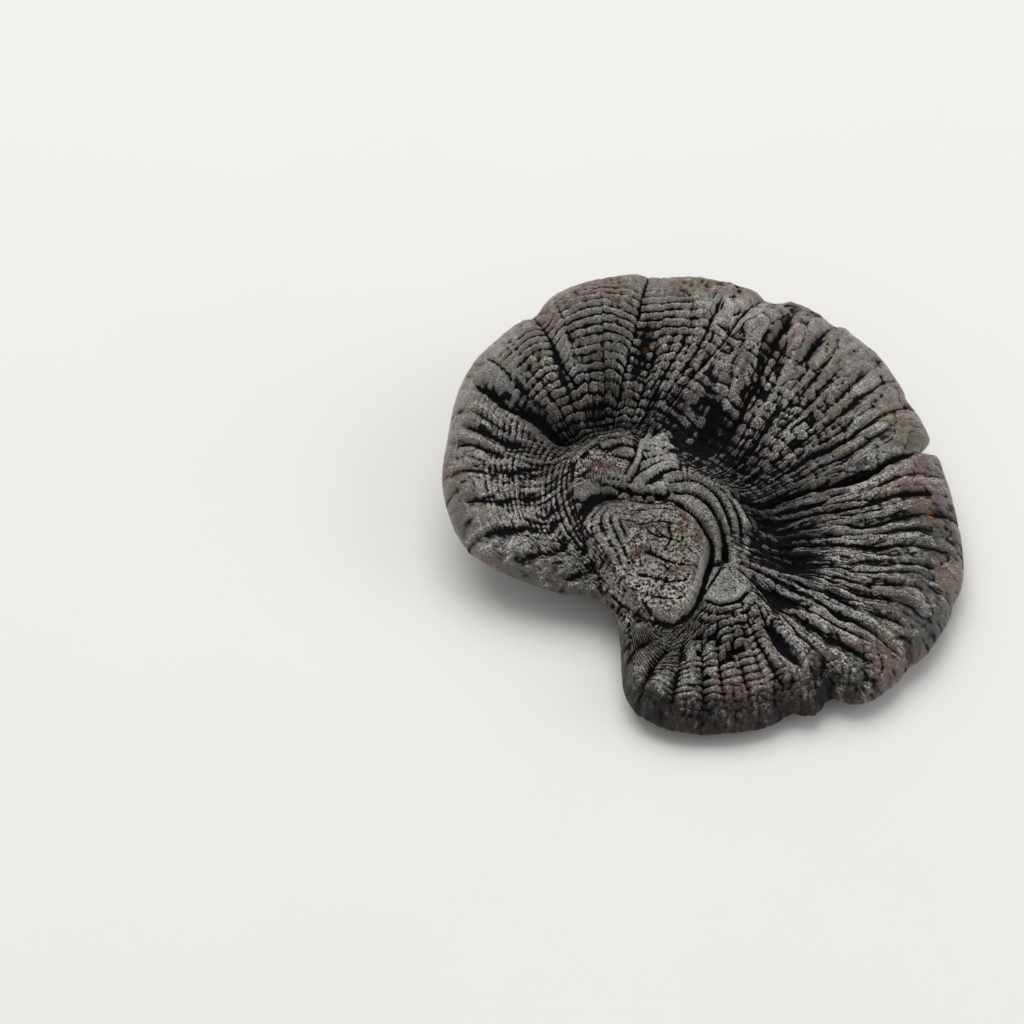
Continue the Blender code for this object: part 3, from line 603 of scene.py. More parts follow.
@dataclass
class CapForm:
    """The shape of the whole cap, which every piece reads."""

    hub_height: float = 17.3
    hub_middle: Point = (-17.0, -9.0)
    bend_end: float = 0.66      # s at which the spokes' bend near the hub ends
    rim_back: float = 5.5
    rim_front: float = 3.8
    flesh: float = 8.0
    rim_roll: float = 3.2
    stem_x: float = 20.0
    stem_y: float = 17.0
    stem_flare: float = 4.0
    floor_gap: float = 0.6
    flesh_reach: float = 14.0   # how far from the rim the flesh reaches its full thickness
    deepest: float = 0.68       # how deep the relief may go into the flesh

    def __post_init__(self) -> None:
        """Keep the plain shell at hand."""
        self.tree: BVHTree = self._plain_tree()

    def rim_radius(self, deg: Array) -> Array:
        """Give the outline's radius.

        Args:
            deg: spokes.

        Returns:
            Radii from the origin.
        """
        r = around(RIM, deg)[..., 0]
        for centre, depth, width in NOTCHES:
            r = r - depth * np.exp(-(apart(deg, centre) / width) ** 2)
        return r

    def rim_thick(self, deg: Array) -> Array:
        """Give the rim's thickness at spokes, fuller at the raised back."""
        back = 0.5 + 0.5 * np.sin(np.radians(deg))
        return self.rim_front + (self.rim_back - self.rim_front) * back

    def height(self, deg: Array, s: Array) -> Array:
        """Give the upper side's height without folds and rings.

        Args:
            deg, s: spokes and the places along them.

        Returns:
            Heights.
        """
        rows = around(HEIGHTS, deg).copy()
        rows[..., 4] += 0.5 * self.rim_thick(deg)
        k = np.array(STATIONS)
        run = np.diff(rows, axis=-1) / np.diff(k)
        slope = np.zeros_like(rows)
        wide = k[2:] - k[:-2]
        slope[..., 1:-1] = (run[..., 1:] * np.diff(k)[:-1] + run[..., :-1] * np.diff(k)[1:]) / wide
        slope[..., 0] = 0.3 * run[..., 0]
        slope[..., -1] = 1.3 * run[..., -1]
        s = np.clip(s, 0, 1)
        i = np.clip(np.searchsorted(k, s, side="right") - 1, 0, 3)
        h = k[i + 1] - k[i]
        t = (s - k[i]) / h

        def pick(a: Array, j: Array) -> Array:
            """Take one station's value at every place."""
            return np.take_along_axis(a, j[..., None], -1)[..., 0]

        return hermite(t, h, pick(rows, i), pick(slope, i), pick(rows, i + 1),
                       pick(slope, i + 1))

    def plan(self, deg: Array, s: Array) -> Array:
        """Give the plan place of spoke and s.

        Args:
            deg, s: spokes and the places along them.

        Returns:
            Plan points, with one more axis than deg.
        """
        bend = around(BEND, deg)[..., 0]
        bent = deg + bend * np.clip((self.bend_end - s) / self.bend_end, 0, 1) ** 1.5
        ang, r, hub = np.radians(bent), self.rim_radius(bent), around(HUB, bent)
        rim = np.stack([r * np.cos(ang), r * np.sin(ang)], -1)
        return hub + (rim - hub) * s[..., None]

    def hollows(self, deg: Array, s: Array) -> Array:
        """Work out the hollows between the folds.

        Args:
            deg, s: spokes and the places along them.

        Returns:
            Heights, zero or less.
        """
        z = np.zeros(np.broadcast(deg, s).shape)
        for centre, where, width, reach, deep in HOLLOWS:
            z -= deep * spot(deg, s, centre, where, width, reach)
        return z

    @staticmethod
    def bare(x: Array, y: Array) -> Array:
        """Tell where the hub is too smooth for growth rings.

        Args:
            x, y: plan places.

        Returns:
            0 off the smooth places and 1 on them.
        """
        mask = np.zeros(x.shape)
        for place in SMOOTH:
            mask = np.maximum(mask, 1 - step(0.85, 1.1, np.hypot(*oval(x, y, *place))))
        return mask

    def pockets_and_shade(self, deg: Array, s: Array) -> tuple[Array, Array]:
        """Work out the pockets of the fan, sunk in the relief and painted dark as shade.

        Args:
            deg, s: spokes and the places along them.

        Returns:
            Their heights, zero or less, and how dark their painted shade is, from 0 to 1.
        """
        z, dark = np.zeros(deg.shape), np.zeros(deg.shape)
        ragged = 0.22 * streaks(deg, s, 90, 12, 37) + 0.4 * streaks(deg, s, 260, 14, 43)
        for centre, where, width, reach, deep in POCKETS:
            pockets_and_shade = spot(deg, s, centre, where, width, reach)
            z -= deep * pockets_and_shade
            dark = np.maximum(dark, step(0.18, 0.75, pockets_and_shade + ragged * (pockets_and_shade > 0.05)))
        return z, dark

    @staticmethod
    def rough(x: Array, y: Array) -> Array:
        """Work out the height of the crumbly relief that covers everything."""
        return (0.3 * lumps(x, y, 4.0, 1) + 0.18 * lumps(x, y, 1.7, 2)
                + 0.2 * lumps(x, y, 0.95, 3))

    def hub_relief(self, x: Array, y: Array) -> Array:
        """Work out the scarred hump, the curled steps and the cleft.

        Args:
            x, y: plan places.

        Returns:
            Heights.
        """
        z = np.zeros_like(x)
        for dome in DOMES:
            z += dome.relief(x, y)
        near = (np.abs(x + 14) < 32) & (np.abs(y) < 48)
        px, py = x[near], y[near]
        part = HUMP.relief(px, py) + FACET.relief(px, py)
        raised = np.zeros_like(part)
        for welt in WELTS:
            h = welt.relief(px, py)
            if welt.rise > 0:
                raised = np.maximum(raised, h)
            else:
                part += h
        z[near] += part + raised
        for cx, cy, length, width, depth in PITS:
            z -= depth * np.exp(-((x - cx) / length) ** 2 - ((y - cy) / width) ** 2)
        flakes = pebbles(x + 1.2 * lumps(x, y, 3.0, 5), 1.6 * y, 5.2, 19)
        crumbs = 0.4 * pebbles(x, y, 1.3, 18) + 0.8 * np.clip(4 * flakes, 0, 1)
        z = z + 0.3 * pebbles(x, y, 1.15, 9) * self.bare(x, y)
        turn = np.degrees(np.arctan2(y + 8, x + 9))
        rolls = step(22, 17, np.hypot(x + 3, y - 2)) * step(-4, 0, x + y + 12)
        z = z + 0.34 * streaks(turn, 0 * x, 230, 2, 46) * rolls
        return z + self.scar(x, y) * (crumbs - 0.9)

    def scar(self, x: Array, y: Array) -> Array:
        """Tell where the surface is a rough scar.

        Args:
            x, y: plan places.

        Returns:
            0 off the scars and 1 on them.
        """
        mask = np.zeros_like(x)
        ragged = 0.16 * lumps(x, y, 2.6, 16)
        near = (np.abs(x + 14) < 14) & (np.abs(y + 19) < 25)
        inset = HUMP.inset(x[near], y[near]) + 6 * ragged[near]
        mask[near] = step(1.9, 2.9, inset) * step(-26.5, -24.5, x[near] + 14 * ragged[near])
        for place in SCARS:
            reach = np.hypot(*oval(x, y, *place)) + ragged
            mask = np.maximum(mask, 1 - step(0.82, 1.06, reach))
        return mask

    def rolled(self, deg: Array, s: Array) -> Array:
        """Work out how far the rim's rounding lowers the upper side.

        Args:
            deg, s: spokes and the places along them.

        Returns:
            Drops in millimetres.
        """
        roll = np.clip(1 - (1 - s) * self.span(deg) / self.rim_roll, 0, 1)
        return 0.5 * self.rim_thick(deg) * (1 - np.sqrt(1 - roll**2))

    def span(self, deg: Array) -> Array:
        """Measure the plan length of each spoke."""
        run = self.plan(deg, np.ones(deg.shape)) - self.plan(deg, np.zeros(deg.shape))
        return np.hypot(run[..., 0], run[..., 1])

    def flesh_at(self, thick: Array, inset: Array) -> Array:
        """Give the flesh's thickness at a distance from a rim of this thickness."""
        return thick + (self.flesh - thick) * step(0.0, self.flesh_reach, inset)

    def _plain_tree(self) -> BVHTree:
        """Build the plain upper side as a tree for looking up its height.

        Returns:
            The tree, in millimetres.
        """
        deg, s = np.broadcast_arrays(np.arange(0, 360, 2.0), np.linspace(0, 1, 41)[:, None])
        xy = self.plan(deg, s)
        z = self.height(deg, s) + swell(xy[..., 0], xy[..., 1]) - self.rolled(deg, s)
        rows, count = deg.shape
        points = np.column_stack([xy.reshape(-1, 2), z.reshape(-1)])
        quads = [(r * count + k, r * count + (k + 1) % count,
                  (r + 1) * count + (k + 1) % count, (r + 1) * count + k)
                 for r in range(rows - 1) for k in range(count)]
        middle = (*self.hub_middle, self.hub_height)
        fans = [(rows * count, k, (k + 1) % count) for k in range(count)]
        return BVHTree.FromPolygons([tuple(p) for p in points] + [middle], quads + fans)

    def roof(self, x: float, y: float) -> float:
        """Look up the plain upper side's height at a plan place, nan outside it."""
        hit = self.tree.ray_cast(Vector((x, y, 90.0)), Vector((0, 0, -1)))[0]
        return hit.z if hit else math.nan

    def under(self, rim: Array, inset: Array, xy: Array) -> Array:
        """Give the height of the underside.

        Args:
            rim: points of the rim's edge, one for each column.
            inset: distances from the rim's edge.
            xy: plan points below which the underside is wanted.

        Returns:
            Heights.
        """
        thick = self.rim_thick(np.degrees(np.arctan2(rim[:, 1], rim[:, 0])))
        roof = np.array([self.roof(x, y) for x, y in xy])
        roof = np.where(np.isnan(roof), rim[:, 2] + 0.5 * thick, roof)
        roll = np.clip(1 - inset / self.rim_roll, 0, 1)
        lip = rim[:, 2] - 0.5 * thick * np.sqrt(1 - roll**2)
        mix = step(0.5, 11.0, inset)
        inner = roof - self.flesh_at(thick, inset)
        return np.maximum(lip * (1 - mix) + inner * mix, self.floor_gap)


@dataclass
class Fan:
    """The fan between the hub's edge and the rim's edge, with all its relief.

    Its grids have a row for each s and a column on every crease and rib.
    """

    form: CapForm
    rows: int = 164
    roll_rows: int = 7
    rib_pitch: float = 2.4
    rib_columns: int = 6
    hidden_columns: int = 4     # for each rib where the cap is out of view
    hidden: Point = (178.0, 236.0)  # the spokes between which it is
    most_rings: int = 40        # more than any spoke has
    bark_round: int = 171       # torn ridges in a full turn
    plates_round: int = 81      # cracked plates in a full turn
    blades_at: float = -20.0    # spoke in the middle of the blades near the hub
    turned_at: float = -90.0    # spoke where the rings turn and beads are lost
    crumbs_at: float = -88.0    # spoke where the rim is crumbly

    def __post_init__(self) -> None:
        """Lay rows and columns, and work out the relief on them."""
        form = self.form
        self.order: list[Crease] = sorted(CREASES, key=lambda c: c.middle % 360)
        self.crease, self.part, self.rib, self.ribs = self._columns()
        self.after: Array = (self.crease + 1) % len(self.order)
        self.s: Array = self._rows_of_s()
        self.deg, self.gap = self.spokes(self.s)
        self.tall: Array = around(FINE, self.deg)
        xy = form.plan(self.deg, self.s)
        self.x, self.y = xy[..., 0], xy[..., 1]
        fine, gap_shade, self.rubbed_and_lit = self.fine()
        folds, dark = self.folds()
        # painted shade in the gaps between blades, beads and plates
        self.gap_shade: Array = np.maximum(gap_shade, dark * (1 - form.bare(self.x, self.y)))
        relief = (folds + form.hollows(self.deg, self.s) + fine
                  + form.hub_relief(self.x, self.y) + form.rough(self.x, self.y))
        inset = (1 - self.s) * form.span(self.deg[0])
        limit = form.deepest * form.flesh_at(form.rim_thick(self.deg), inset)
        low, soft = 0.7 * limit, 0.3 * limit
        relief = np.where(relief < -low, -low - soft * (1 - np.exp((relief + low) / soft)), relief)
        self.relief: Array = relief
        z = (form.height(self.deg, self.s) + swell(self.x, self.y) + relief
             - form.rolled(self.deg, self.s))
        self.points: Array = np.stack([self.x, self.y, z], -1)

    def _columns(self) -> tuple[Array, Array, Array, int]:
        """Lay columns on every crease and rib, closer where the cap is seen.

        Returns:
            For each column the crease before it, where it stands between that one and
            the next, and its rib; and the number of ribs.
        """
        middle = np.array([c.middle % 360 for c in self.order])
        crease, part, rib, first = [], [], [], 0
        for k, gap in enumerate(np.mod(np.roll(middle, -1) - middle, 360)):
            hidden = self.hidden[0] < (middle[k] + gap / 2) % 360 < self.hidden[1]
            count = max(1, round(gap / self.rib_pitch))
            steps = count * (self.hidden_columns if hidden else self.rib_columns)
            t = np.arange(steps) / steps
            crease.append(np.full(steps, k))
            part.append(t - 0.3 * np.sin(2 * math.pi * t) / (2 * math.pi))
            rib.append(first + t * count)
            first += count
        return np.concatenate(crease), np.concatenate(part), np.concatenate(rib), first

    def _rows_of_s(self) -> Array:
        """Lay rows from the hub's edge to the rim, closer where the rim rolls over.

        Returns:
            s, rows by columns.
        """
        deg, _ = self.spokes(np.full((1, len(self.part)), 0.9))
        roll, span = self.form.rim_roll, self.form.span(deg[0])
        even = np.arange(self.rows)[:, None] / (self.rows - 1)
        bend = (np.arange(1, self.roll_rows + 1) / self.roll_rows)[:, None] * math.pi / 2
        return np.concatenate([even * (1 - roll / span), 1 - roll * (1 - np.sin(bend)) / span])

    def crease_line(self, index: Array, s: Array) -> Array:
        """Give the spoke of a crease at s.

        Args:
            index: which creases, one for each column.
            s: places along them, rows by columns.

        Returns:
            Spokes, rows by columns.
        """
        a = np.array([(c.inner, c.middle, c.outer) for c in self.order])
        a = a - np.round((a - a[:, 1:2] % 360) / 360) * 360
        inner, mid, outer = a[index, 0], a[index, 1], a[index, 2]
        low = inner + (mid - inner) * np.clip((s - 0.4) / 0.2, 0, 1)
        return low + (outer - mid) * np.clip((s - 0.6) / 0.3, 0, 1)

    def spokes(self, s: Array) -> tuple[Array, Array]:
        """Give the spoke of each column at s.

        Args:
            s: rows by columns.

        Returns:
            The spokes, and the width of each column's pleat in degrees.
        """
        low = self.crease_line(self.crease, s)
        gap = np.mod(self.crease_line(self.after, s) - low, 360)
        return low + gap * self.part, gap

    def folds(self) -> tuple[Array, Array]:
        """Work out the creases and the rounded pleats between them.

        Returns:
            Heights, and how dark the painted shade in the gaps between the blades near the hub is.
        """
        s = self.s
        start, end, width, depth, lift, middle = np.array(
            [(c.start, c.end, c.width, c.depth, c.lift, c.middle) for c in self.order]).T
        blades = np.abs(apart(middle, self.blades_at)) < 46
        start = np.where(blades, np.maximum(start - 0.24, 0.03), start)
        depth = np.where(blades, 1.2 * depth, depth)
        width = np.where(blades, 1.2 * width, width)
        z, dark, near = np.zeros_like(s), np.zeros_like(s), 1 - step(0.08, 0.42, s)
        for j, t, side in ((self.crease, self.part, 1), (self.after, 1 - self.part, -1)):
            fade = step(start[j] - 0.05, start[j] + 0.12, s)
            fade = fade * np.where(end[j] >= 1, 1, 1 - step(end[j] - 0.12, end[j], s))
            fade = fade * (1 - 0.6 * step(0.70, 1.0, s))
            wide = width[j] * (1 - 0.45 * step(0.5, 0.95, s)) * (1 + 0.9 * blades[j] * near)
            dip = fade * (1 - t) ** np.clip(self.gap / (1.5 * wide), 1.4, 12)
            z -= depth[j] * dip
            dark = np.maximum(dark, dip * blades[j] * (1 - step(0.3, 0.5, s)))
            z += np.clip(side * lift[j], 0, None) * fade * np.exp(-t * self.gap / 6) * (1 - t)
        return z, dark

    def growth(self) -> tuple[Array, Array, Array]:
        """Work out growth rings and the beads where ribs cross them.

        Returns:
            Heights, how dark the painted shade in the holes of lost beads is, and how much each
            bead is painted lighter, as rub and painted highlight.
        """
        deg, s, most = self.deg, self.s, self.most_rings
        offset = draws(23).uniform(-0.22, 0.22, len(self.order))[self.crease]
        phase = around(RINGS, deg)[..., 0] * s + offset * step(0.2, 0.5, s)
        phase = phase + 0.25 * streaks(deg, s, 26, 4, 21) + 0.16 * streaks(deg, s, 90, 9, 22)
        turn = np.mod(phase, 1)
        turn = np.where(turn < 0.62, turn / 1.24, 0.5 + (turn - 0.62) / 0.76)
        ring = 1 - np.abs(2 * turn - 1) ** 2.2
        number = np.floor(phase) / most
        own = 0.85 + 0.75 * streaks(deg, number, 30, most, 12)
        own = np.clip(own + 0.45 * streaks(deg, number, 84, most, 17), 0.05, 1.8)
        rib = self.rib + 0.45 * streaks(deg, s, 46, 6, 24)
        _, dome, lot = grains(rib, phase, self.ribs, (0.24, 0.14), 11)
        turned = sector(deg, self.turned_at, 14, 26)
        lost = lot < 0.11 * turned
        bead = 1.35 * (np.where(lost, -1.0 * dome, dome * (0.55 + 0.7 * lot)) - 0.6)
        rings, beads, end = self.tall[..., 0], self.tall[..., 1], self.tall[..., 4]
        rings_in = step(0.0, 0.05, s) * (1 - 0.85 * step(end - 0.12, end, s))
        rings_in = rings_in * (1 - 0.4 * step(0.5, 0.85, s))
        strength = 0.55 + 0.65 * streaks(deg, s, 34, 5, 25)
        beads_in = step(0.0, 0.05, s) * (1 - step(end - 0.3, end - 0.05, s))
        beads_in = beads_in * np.clip(strength + 0.35, 0, 1.3)
        z = rings * own * (ring - 0.6) * rings_in + beads * bead * beads_in
        z = z - 0.5 * turned * lost * dome * beads_in
        lost = lost * np.clip(1.6 * dome, 0, 1) * np.clip(1.4 * beads_in * beads, 0, 1)
        return z, lost, (lot - 0.5) * beads_in

    def bark(self) -> tuple[Array, Array, Array]:
        """Work out the torn ridges that run along the spokes.

        Returns:
            Heights of about a millimetre either way, how dark the painted shade in the gaps
            is, and how much each plate is painted lighter, as rub and painted highlight.
        """
        deg, s, count = self.deg, self.s, self.bark_round
        wander = streaks(deg, s, 40, 4, 20)
        long = streaks(deg + 0.4 * wander, s, 270, 3, 13)
        short = streaks(deg + 0.4 * wander, s, 520, 8, 14)
        across = np.mod(deg * count / 360 + 0.25 * wander, count)
        down = s * 5.5 + 0.5 * np.sin(np.radians(deg * 9))
        plate, ball, lot = grains(across, down, count, (0.36, 0.46), 26)
        torn = 0.55 + 0.9 * np.abs(streaks(deg, s, 150, 9, 38))
        z = (0.3 * torn * (1 - 2 * np.abs(long) ** 0.7)
             + 0.25 * (1 - 2 * np.abs(short) ** 0.8)
             + 1.5 * ((0.5 * plate + 0.5 * ball) * (0.35 + 0.9 * lot) - 0.42))
        return z, np.clip(0.9 - 3.4 * plate, 0, 1), lot - 0.5

    def plates(self) -> tuple[Array, Array, Array]:
        """Work out the plates that the skin has cracked into towards the rim.

        Returns:
            Heights of about a millimetre, how dark the painted shade in the cracks is, and
            how much each plate is painted lighter, as rub and painted highlight.
        """
        deg, s, count = self.deg, self.s, self.plates_round
        across = np.mod(deg * count / 360 + 0.4 * streaks(deg, s, 110, 12, 34), count)
        down = s * 6.5 + 0.45 * streaks(deg, s, 90, 10, 35)
        dome, _, lot = grains(across, down, count, (0.46, 0.46), 36)
        z = np.clip(3.2 * dome, 0, 1) * (0.45 + 0.75 * lot) - 0.5 + 0.25 * dome
        return z, np.clip(1.0 - 6 * dome, 0, 1), lot - 0.5

    def fine(self) -> tuple[Array, Array, Array]:
        """Work out all relief that is finer than folds and hollows.

        Returns:
            Heights, how dark the painted shade in their gaps is, and how much the tops are painted
            lighter, as rub and painted highlight.
        """
        deg, s, x, y, tall = self.deg, self.s, self.x, self.y, self.tall
        z, gap_shade, bead_tone = self.growth()
        bark, gaps, bark_tone = self.bark()
        plates, cracks, plate_tone = self.plates()
        blades = sector(deg, self.blades_at, 40, 56)
        bark_in = step(0.03 + 0.07 * blades, 0.2 + 0.16 * blades, s)
        bark_in = tall[..., 2] * bark_in * (1 - 0.82 * step(0.45, 0.8, s))
        plates_in = 1.2 * tall[..., 5] * step(0.4, 0.66, s)
        gap_shade = np.maximum(gap_shade, gaps * np.clip(bark_in - 0.35, 0, 1) * (1 - step(0.45, 0.8, s)))
        gap_shade = np.maximum(gap_shade, cracks * np.clip(plates_in - 0.3, 0, 0.55))
        knob = lumps(x, y, 5.2, 15) + 0.5 * lumps(x, y, 2.7, 27)
        hair = 0.34 * (1 - 2 * np.abs(streaks(deg, s, 520, 6, 39)) ** 0.7)
        hair = hair * (1 - step(0.3, 0.5, s)) * (1 - 0.6 * blades)
        z = z + bark * bark_in + tall[..., 3] * knob * step(0.3, 0.55, s)
        z = z + plates * plates_in + self.form.pockets_and_shade(deg, s)[0] + hair
        wrinkle = 0.26 * streaks(deg, s, 400, 12, 28) + 0.3 * lumps(x, y, 2.3, 29)
        z = z + wrinkle * step(0.62, 0.85, s)
        crumbs = 0.5 * lumps(x, y, 3.1, 44) + pebbles(x, 1.4 * y, 2.3, 45) - 0.3
        z = z + 0.9 * sector(deg, self.crumbs_at, 34, 52) * step(0.74, 0.86, s) * crumbs
        rubbed_and_lit = (0.30 * bark_tone * np.clip(bark_in, 0, 1) + 0.22 * plate_tone * plates_in
                  + 0.20 * bead_tone)
        rough = 1 - self.form.bare(x, y)
        return z * rough * (1 - 0.6 * step(0.92, 1.0, s)), gap_shade * rough, rubbed_and_lit * rough


# ---- node wiring and the effects that several finishes share ----

class Bench:
    """Adds and joins the nodes of one tree."""

    def __init__(self, tree: NodeTree) -> None:
        """Keep the tree to work on."""
        self.tree = tree

    def add(self, kind: str, **settings: object) -> Node:
        """Add a node.

        Args:
            kind: the node's type.
            settings: its properties.

        Returns:
            The node.
        """
        node = self.tree.nodes.new(kind)
        for name, value in settings.items():
            setattr(node, name, value)
        return node

    def join(self, socket: NodeSocket, value: object) -> None:
        """Join an input to another socket, or set its number or its colour.

        Args:
            socket: the input.
            value: an output socket, a number or a colour.
        """
        if isinstance(value, NodeSocket):
            self.tree.links.new(value, socket)
        else:
            socket.default_value = (*value, 1.0) if socket.type == "RGBA" else value

    def feed(self, node: Node, **values: object) -> Node:
        """Join or set a node's inputs.

        Args:
            node: the node.
            values: what goes in, by the input's name with underscores for spaces.

        Returns:
            The node.
        """
        for name, value in values.items():
            self.join(node.inputs[name.replace("_", " ")], value)
        return node

    def noise(self, vector: object, scale: object, detail: float = 3.0,
              rough: float = 0.55) -> NodeSocket:
        """Add fractal noise.

        Args:
            vector: coordinates.
            scale: cells in one unit.
            detail: octaves.
            rough: weight of the finer octaves.

        Returns:
            The noise's value.
        """
        return self.feed(self.add("ShaderNodeTexNoise"), Vector=vector, Scale=scale,
                         Detail=detail, Roughness=rough).outputs[0]

    def ramp(self, value: object, low: object, high: object, to_low: float = 0.0,
             to_high: float = 1.0) -> NodeSocket:
        """Spread a range of values over another one, smoothly and clamped.

        Args:
            value: the input.
            low, high: inputs that give to_low and to_high.
            to_low, to_high: the outputs there.

        Returns:
            The mapped value.
        """
        node = self.add("ShaderNodeMapRange", interpolation_type="SMOOTHSTEP")
        return self.feed(node, Value=value, From_Min=low, From_Max=high, To_Min=to_low,
                         To_Max=to_high).outputs[0]

    def maths(self, operation: str, first: object, *others: object) -> NodeSocket:
        """Work out a sum of two values or more, from the left.

        Args:
            operation: the nodes' operation.
            first: first value.
            others: the values that follow.

        Returns:
            The result.
        """
        for other in others:
            node = self.add("ShaderNodeMath", operation=operation)
            self.join(node.inputs[0], first)
            self.join(node.inputs[1], other)
            first = node.outputs[0]
        return first

    def times(self, *values: object) -> NodeSocket:
        """Multiply two values or more."""
        return self.maths("MULTIPLY", *values)

    def mix(self, amount: object, a: object, b: object) -> NodeSocket:
        """Mix two colours.

        Args:
            amount: how much of the second.
            a, b: the colours.

        Returns:
            The mixed colour.
        """
        node = self.add("ShaderNodeMix", data_type="RGBA")
        for index, value in ((0, amount), (6, a), (7, b)):
            self.join(node.inputs[index], value)
        return node.outputs[2]

    def own(self, name: str, output: str = "Fac") -> NodeSocket:
        """Read one of the piece's own attributes."""
        return self.add("ShaderNodeAttribute", attribute_name=name).outputs[output]

    def place(self) -> NodeSocket:
        """Read the place on the object, in metres."""
        return self.add("ShaderNodeTexCoord").outputs["Object"]

    def group(self, tree: NodeTree, **values: object) -> Node:
        """Place a shared effect and feed its inputs."""
        return self.feed(self.add("ShaderNodeGroup", node_tree=tree), **values)

    def bump(self, shader: Node, height: NodeSocket, strength: float, metres: float) -> None:
        """Dent a shader's surface.

        Args:
            shader: the shader.
            height: the height's socket.
            strength: how far its normals turn, from 0 to 1.
            metres: how high a height of 1 stands.
        """
        node = self.feed(self.add("ShaderNodeBump"), Height=height, Strength=strength,
                         Distance=metres)
        self.feed(shader, Normal=node.outputs[0])


class Effects:
    """The effects that more than one finish uses, each built once."""

    def __init__(self) -> None:
        """Build the node groups."""
        self.patches = self._patches()
        self.grain = self._grain()
        self.crevice = self._crevice()

    @staticmethod
    def _tree(name: str, inputs: dict[str, object],
              outputs: dict[str, str]) -> tuple[Bench, Sequence[NodeSocket], Node]:
        """Start a node group with named sockets.

        Args:
            name: the effect's name.
            inputs: default values by name, a number, a colour or None for a vector.
            outputs: socket types by name.

        Returns:
            The group's bench, what comes into the group, and its output node.
        """
        tree = bpy.data.node_groups.new(name, "ShaderNodeTree")
        for label, value in inputs.items():
            kind = {tuple: "Color", float: "Float"}.get(type(value), "Vector")
            socket = tree.interface.new_socket(name=label, in_out="INPUT",
                                               socket_type="NodeSocket" + kind)
            if value is not None:
                socket.default_value = value
        for label, kind in outputs.items():
            tree.interface.new_socket(name=label, in_out="OUTPUT", socket_type="NodeSocket" + kind)
        bench = Bench(tree)
        return bench, bench.add("NodeGroupInput").outputs, bench.add("NodeGroupOutput")

    def _patches(self) -> NodeTree:
        """Make uneven patches with ragged edges.

        Returns:
            The node group.
        """
        b, given, end = self._tree(
            "ragged_patches", {"Vector": None, "Scale": 60.0, "Low": 0.5, "High": 0.6},
            {"Mask": "Float"})
        noise = b.noise(given["Vector"], given["Scale"], 5.0, 0.62)
        b.feed(end, Mask=b.ramp(noise, given["Low"], given["High"]))
        return b.tree

    def _grain(self) -> NodeTree:
        """Make the fine grain of dried flesh and the pinholes in it.

        Returns:
            The node group.
        """
        b, given, end = self._tree(
            "dried_grain", {"Vector": None, "Coarse": 1400.0, "Pits": 0.5},
            {"Height": "Float", "Pinholes": "Float"})
        noise = b.noise(given["Vector"], given["Coarse"], 4.0, 0.6)
        cells = b.feed(b.add("ShaderNodeTexVoronoi"), Vector=given["Vector"],
                       Scale=given["Coarse"])
        holes = b.times(b.ramp(cells.outputs["Distance"], 0.12, 0.34, 1.0, 0.0), given["Pits"])
        b.feed(end, Height=b.maths("SUBTRACT", noise, holes), Pinholes=holes)
        return b.tree

    def _crevice(self) -> NodeTree:
        """Paint shade on what lies deep, and paint raised crests lighter, as wear and painted
        highlight.

        Returns:
            The node group.
        """
        b, given, end = self._tree(
            "crevice_shade_and_crest_light",
            {"Colour": (0.05, 0.05, 0.05, 1), "Deep": (0.01, 0.01, 0.01, 1),
             "Rubbed": (0.12, 0.11, 0.1, 1), "Hollow": 0.5, "Wear": 0.5},
            {"Colour": "Color", "Low": "Float"})
        # painted shade: the deeper a place lies, the nearer its colour comes to the shade colour
        low = b.ramp(given["Hollow"], 0.49, 0.68)
        # raised crests painted lighter, as wear and as painted highlight
        high = b.times(b.ramp(given["Hollow"], 0.5, 0.27), given["Wear"])
        painted_relief_tone = b.mix(high, given["Colour"], given["Rubbed"])
        b.feed(end, Colour=b.mix(low, painted_relief_tone, given["Deep"]), Low=low)
        return b.tree

    def patch(self, b: Bench, place: NodeSocket, scale: float, low: float,
              high: float) -> NodeSocket:
        """Place ragged patches and give their mask."""
        return b.group(self.patches, Vector=place, Scale=scale, Low=low, High=high).outputs[0]


def new_material(name: str) -> tuple[Material, Bench, Node]:
    """Start a material.

    Args:
        name: the finish's name.

    Returns:
        The material, its bench and its Principled shader.
    """
    mat = bpy.data.materials.new(name)
    mat.use_nodes = True
    return mat, Bench(mat.node_tree), mat.node_tree.nodes["Principled BSDF"]


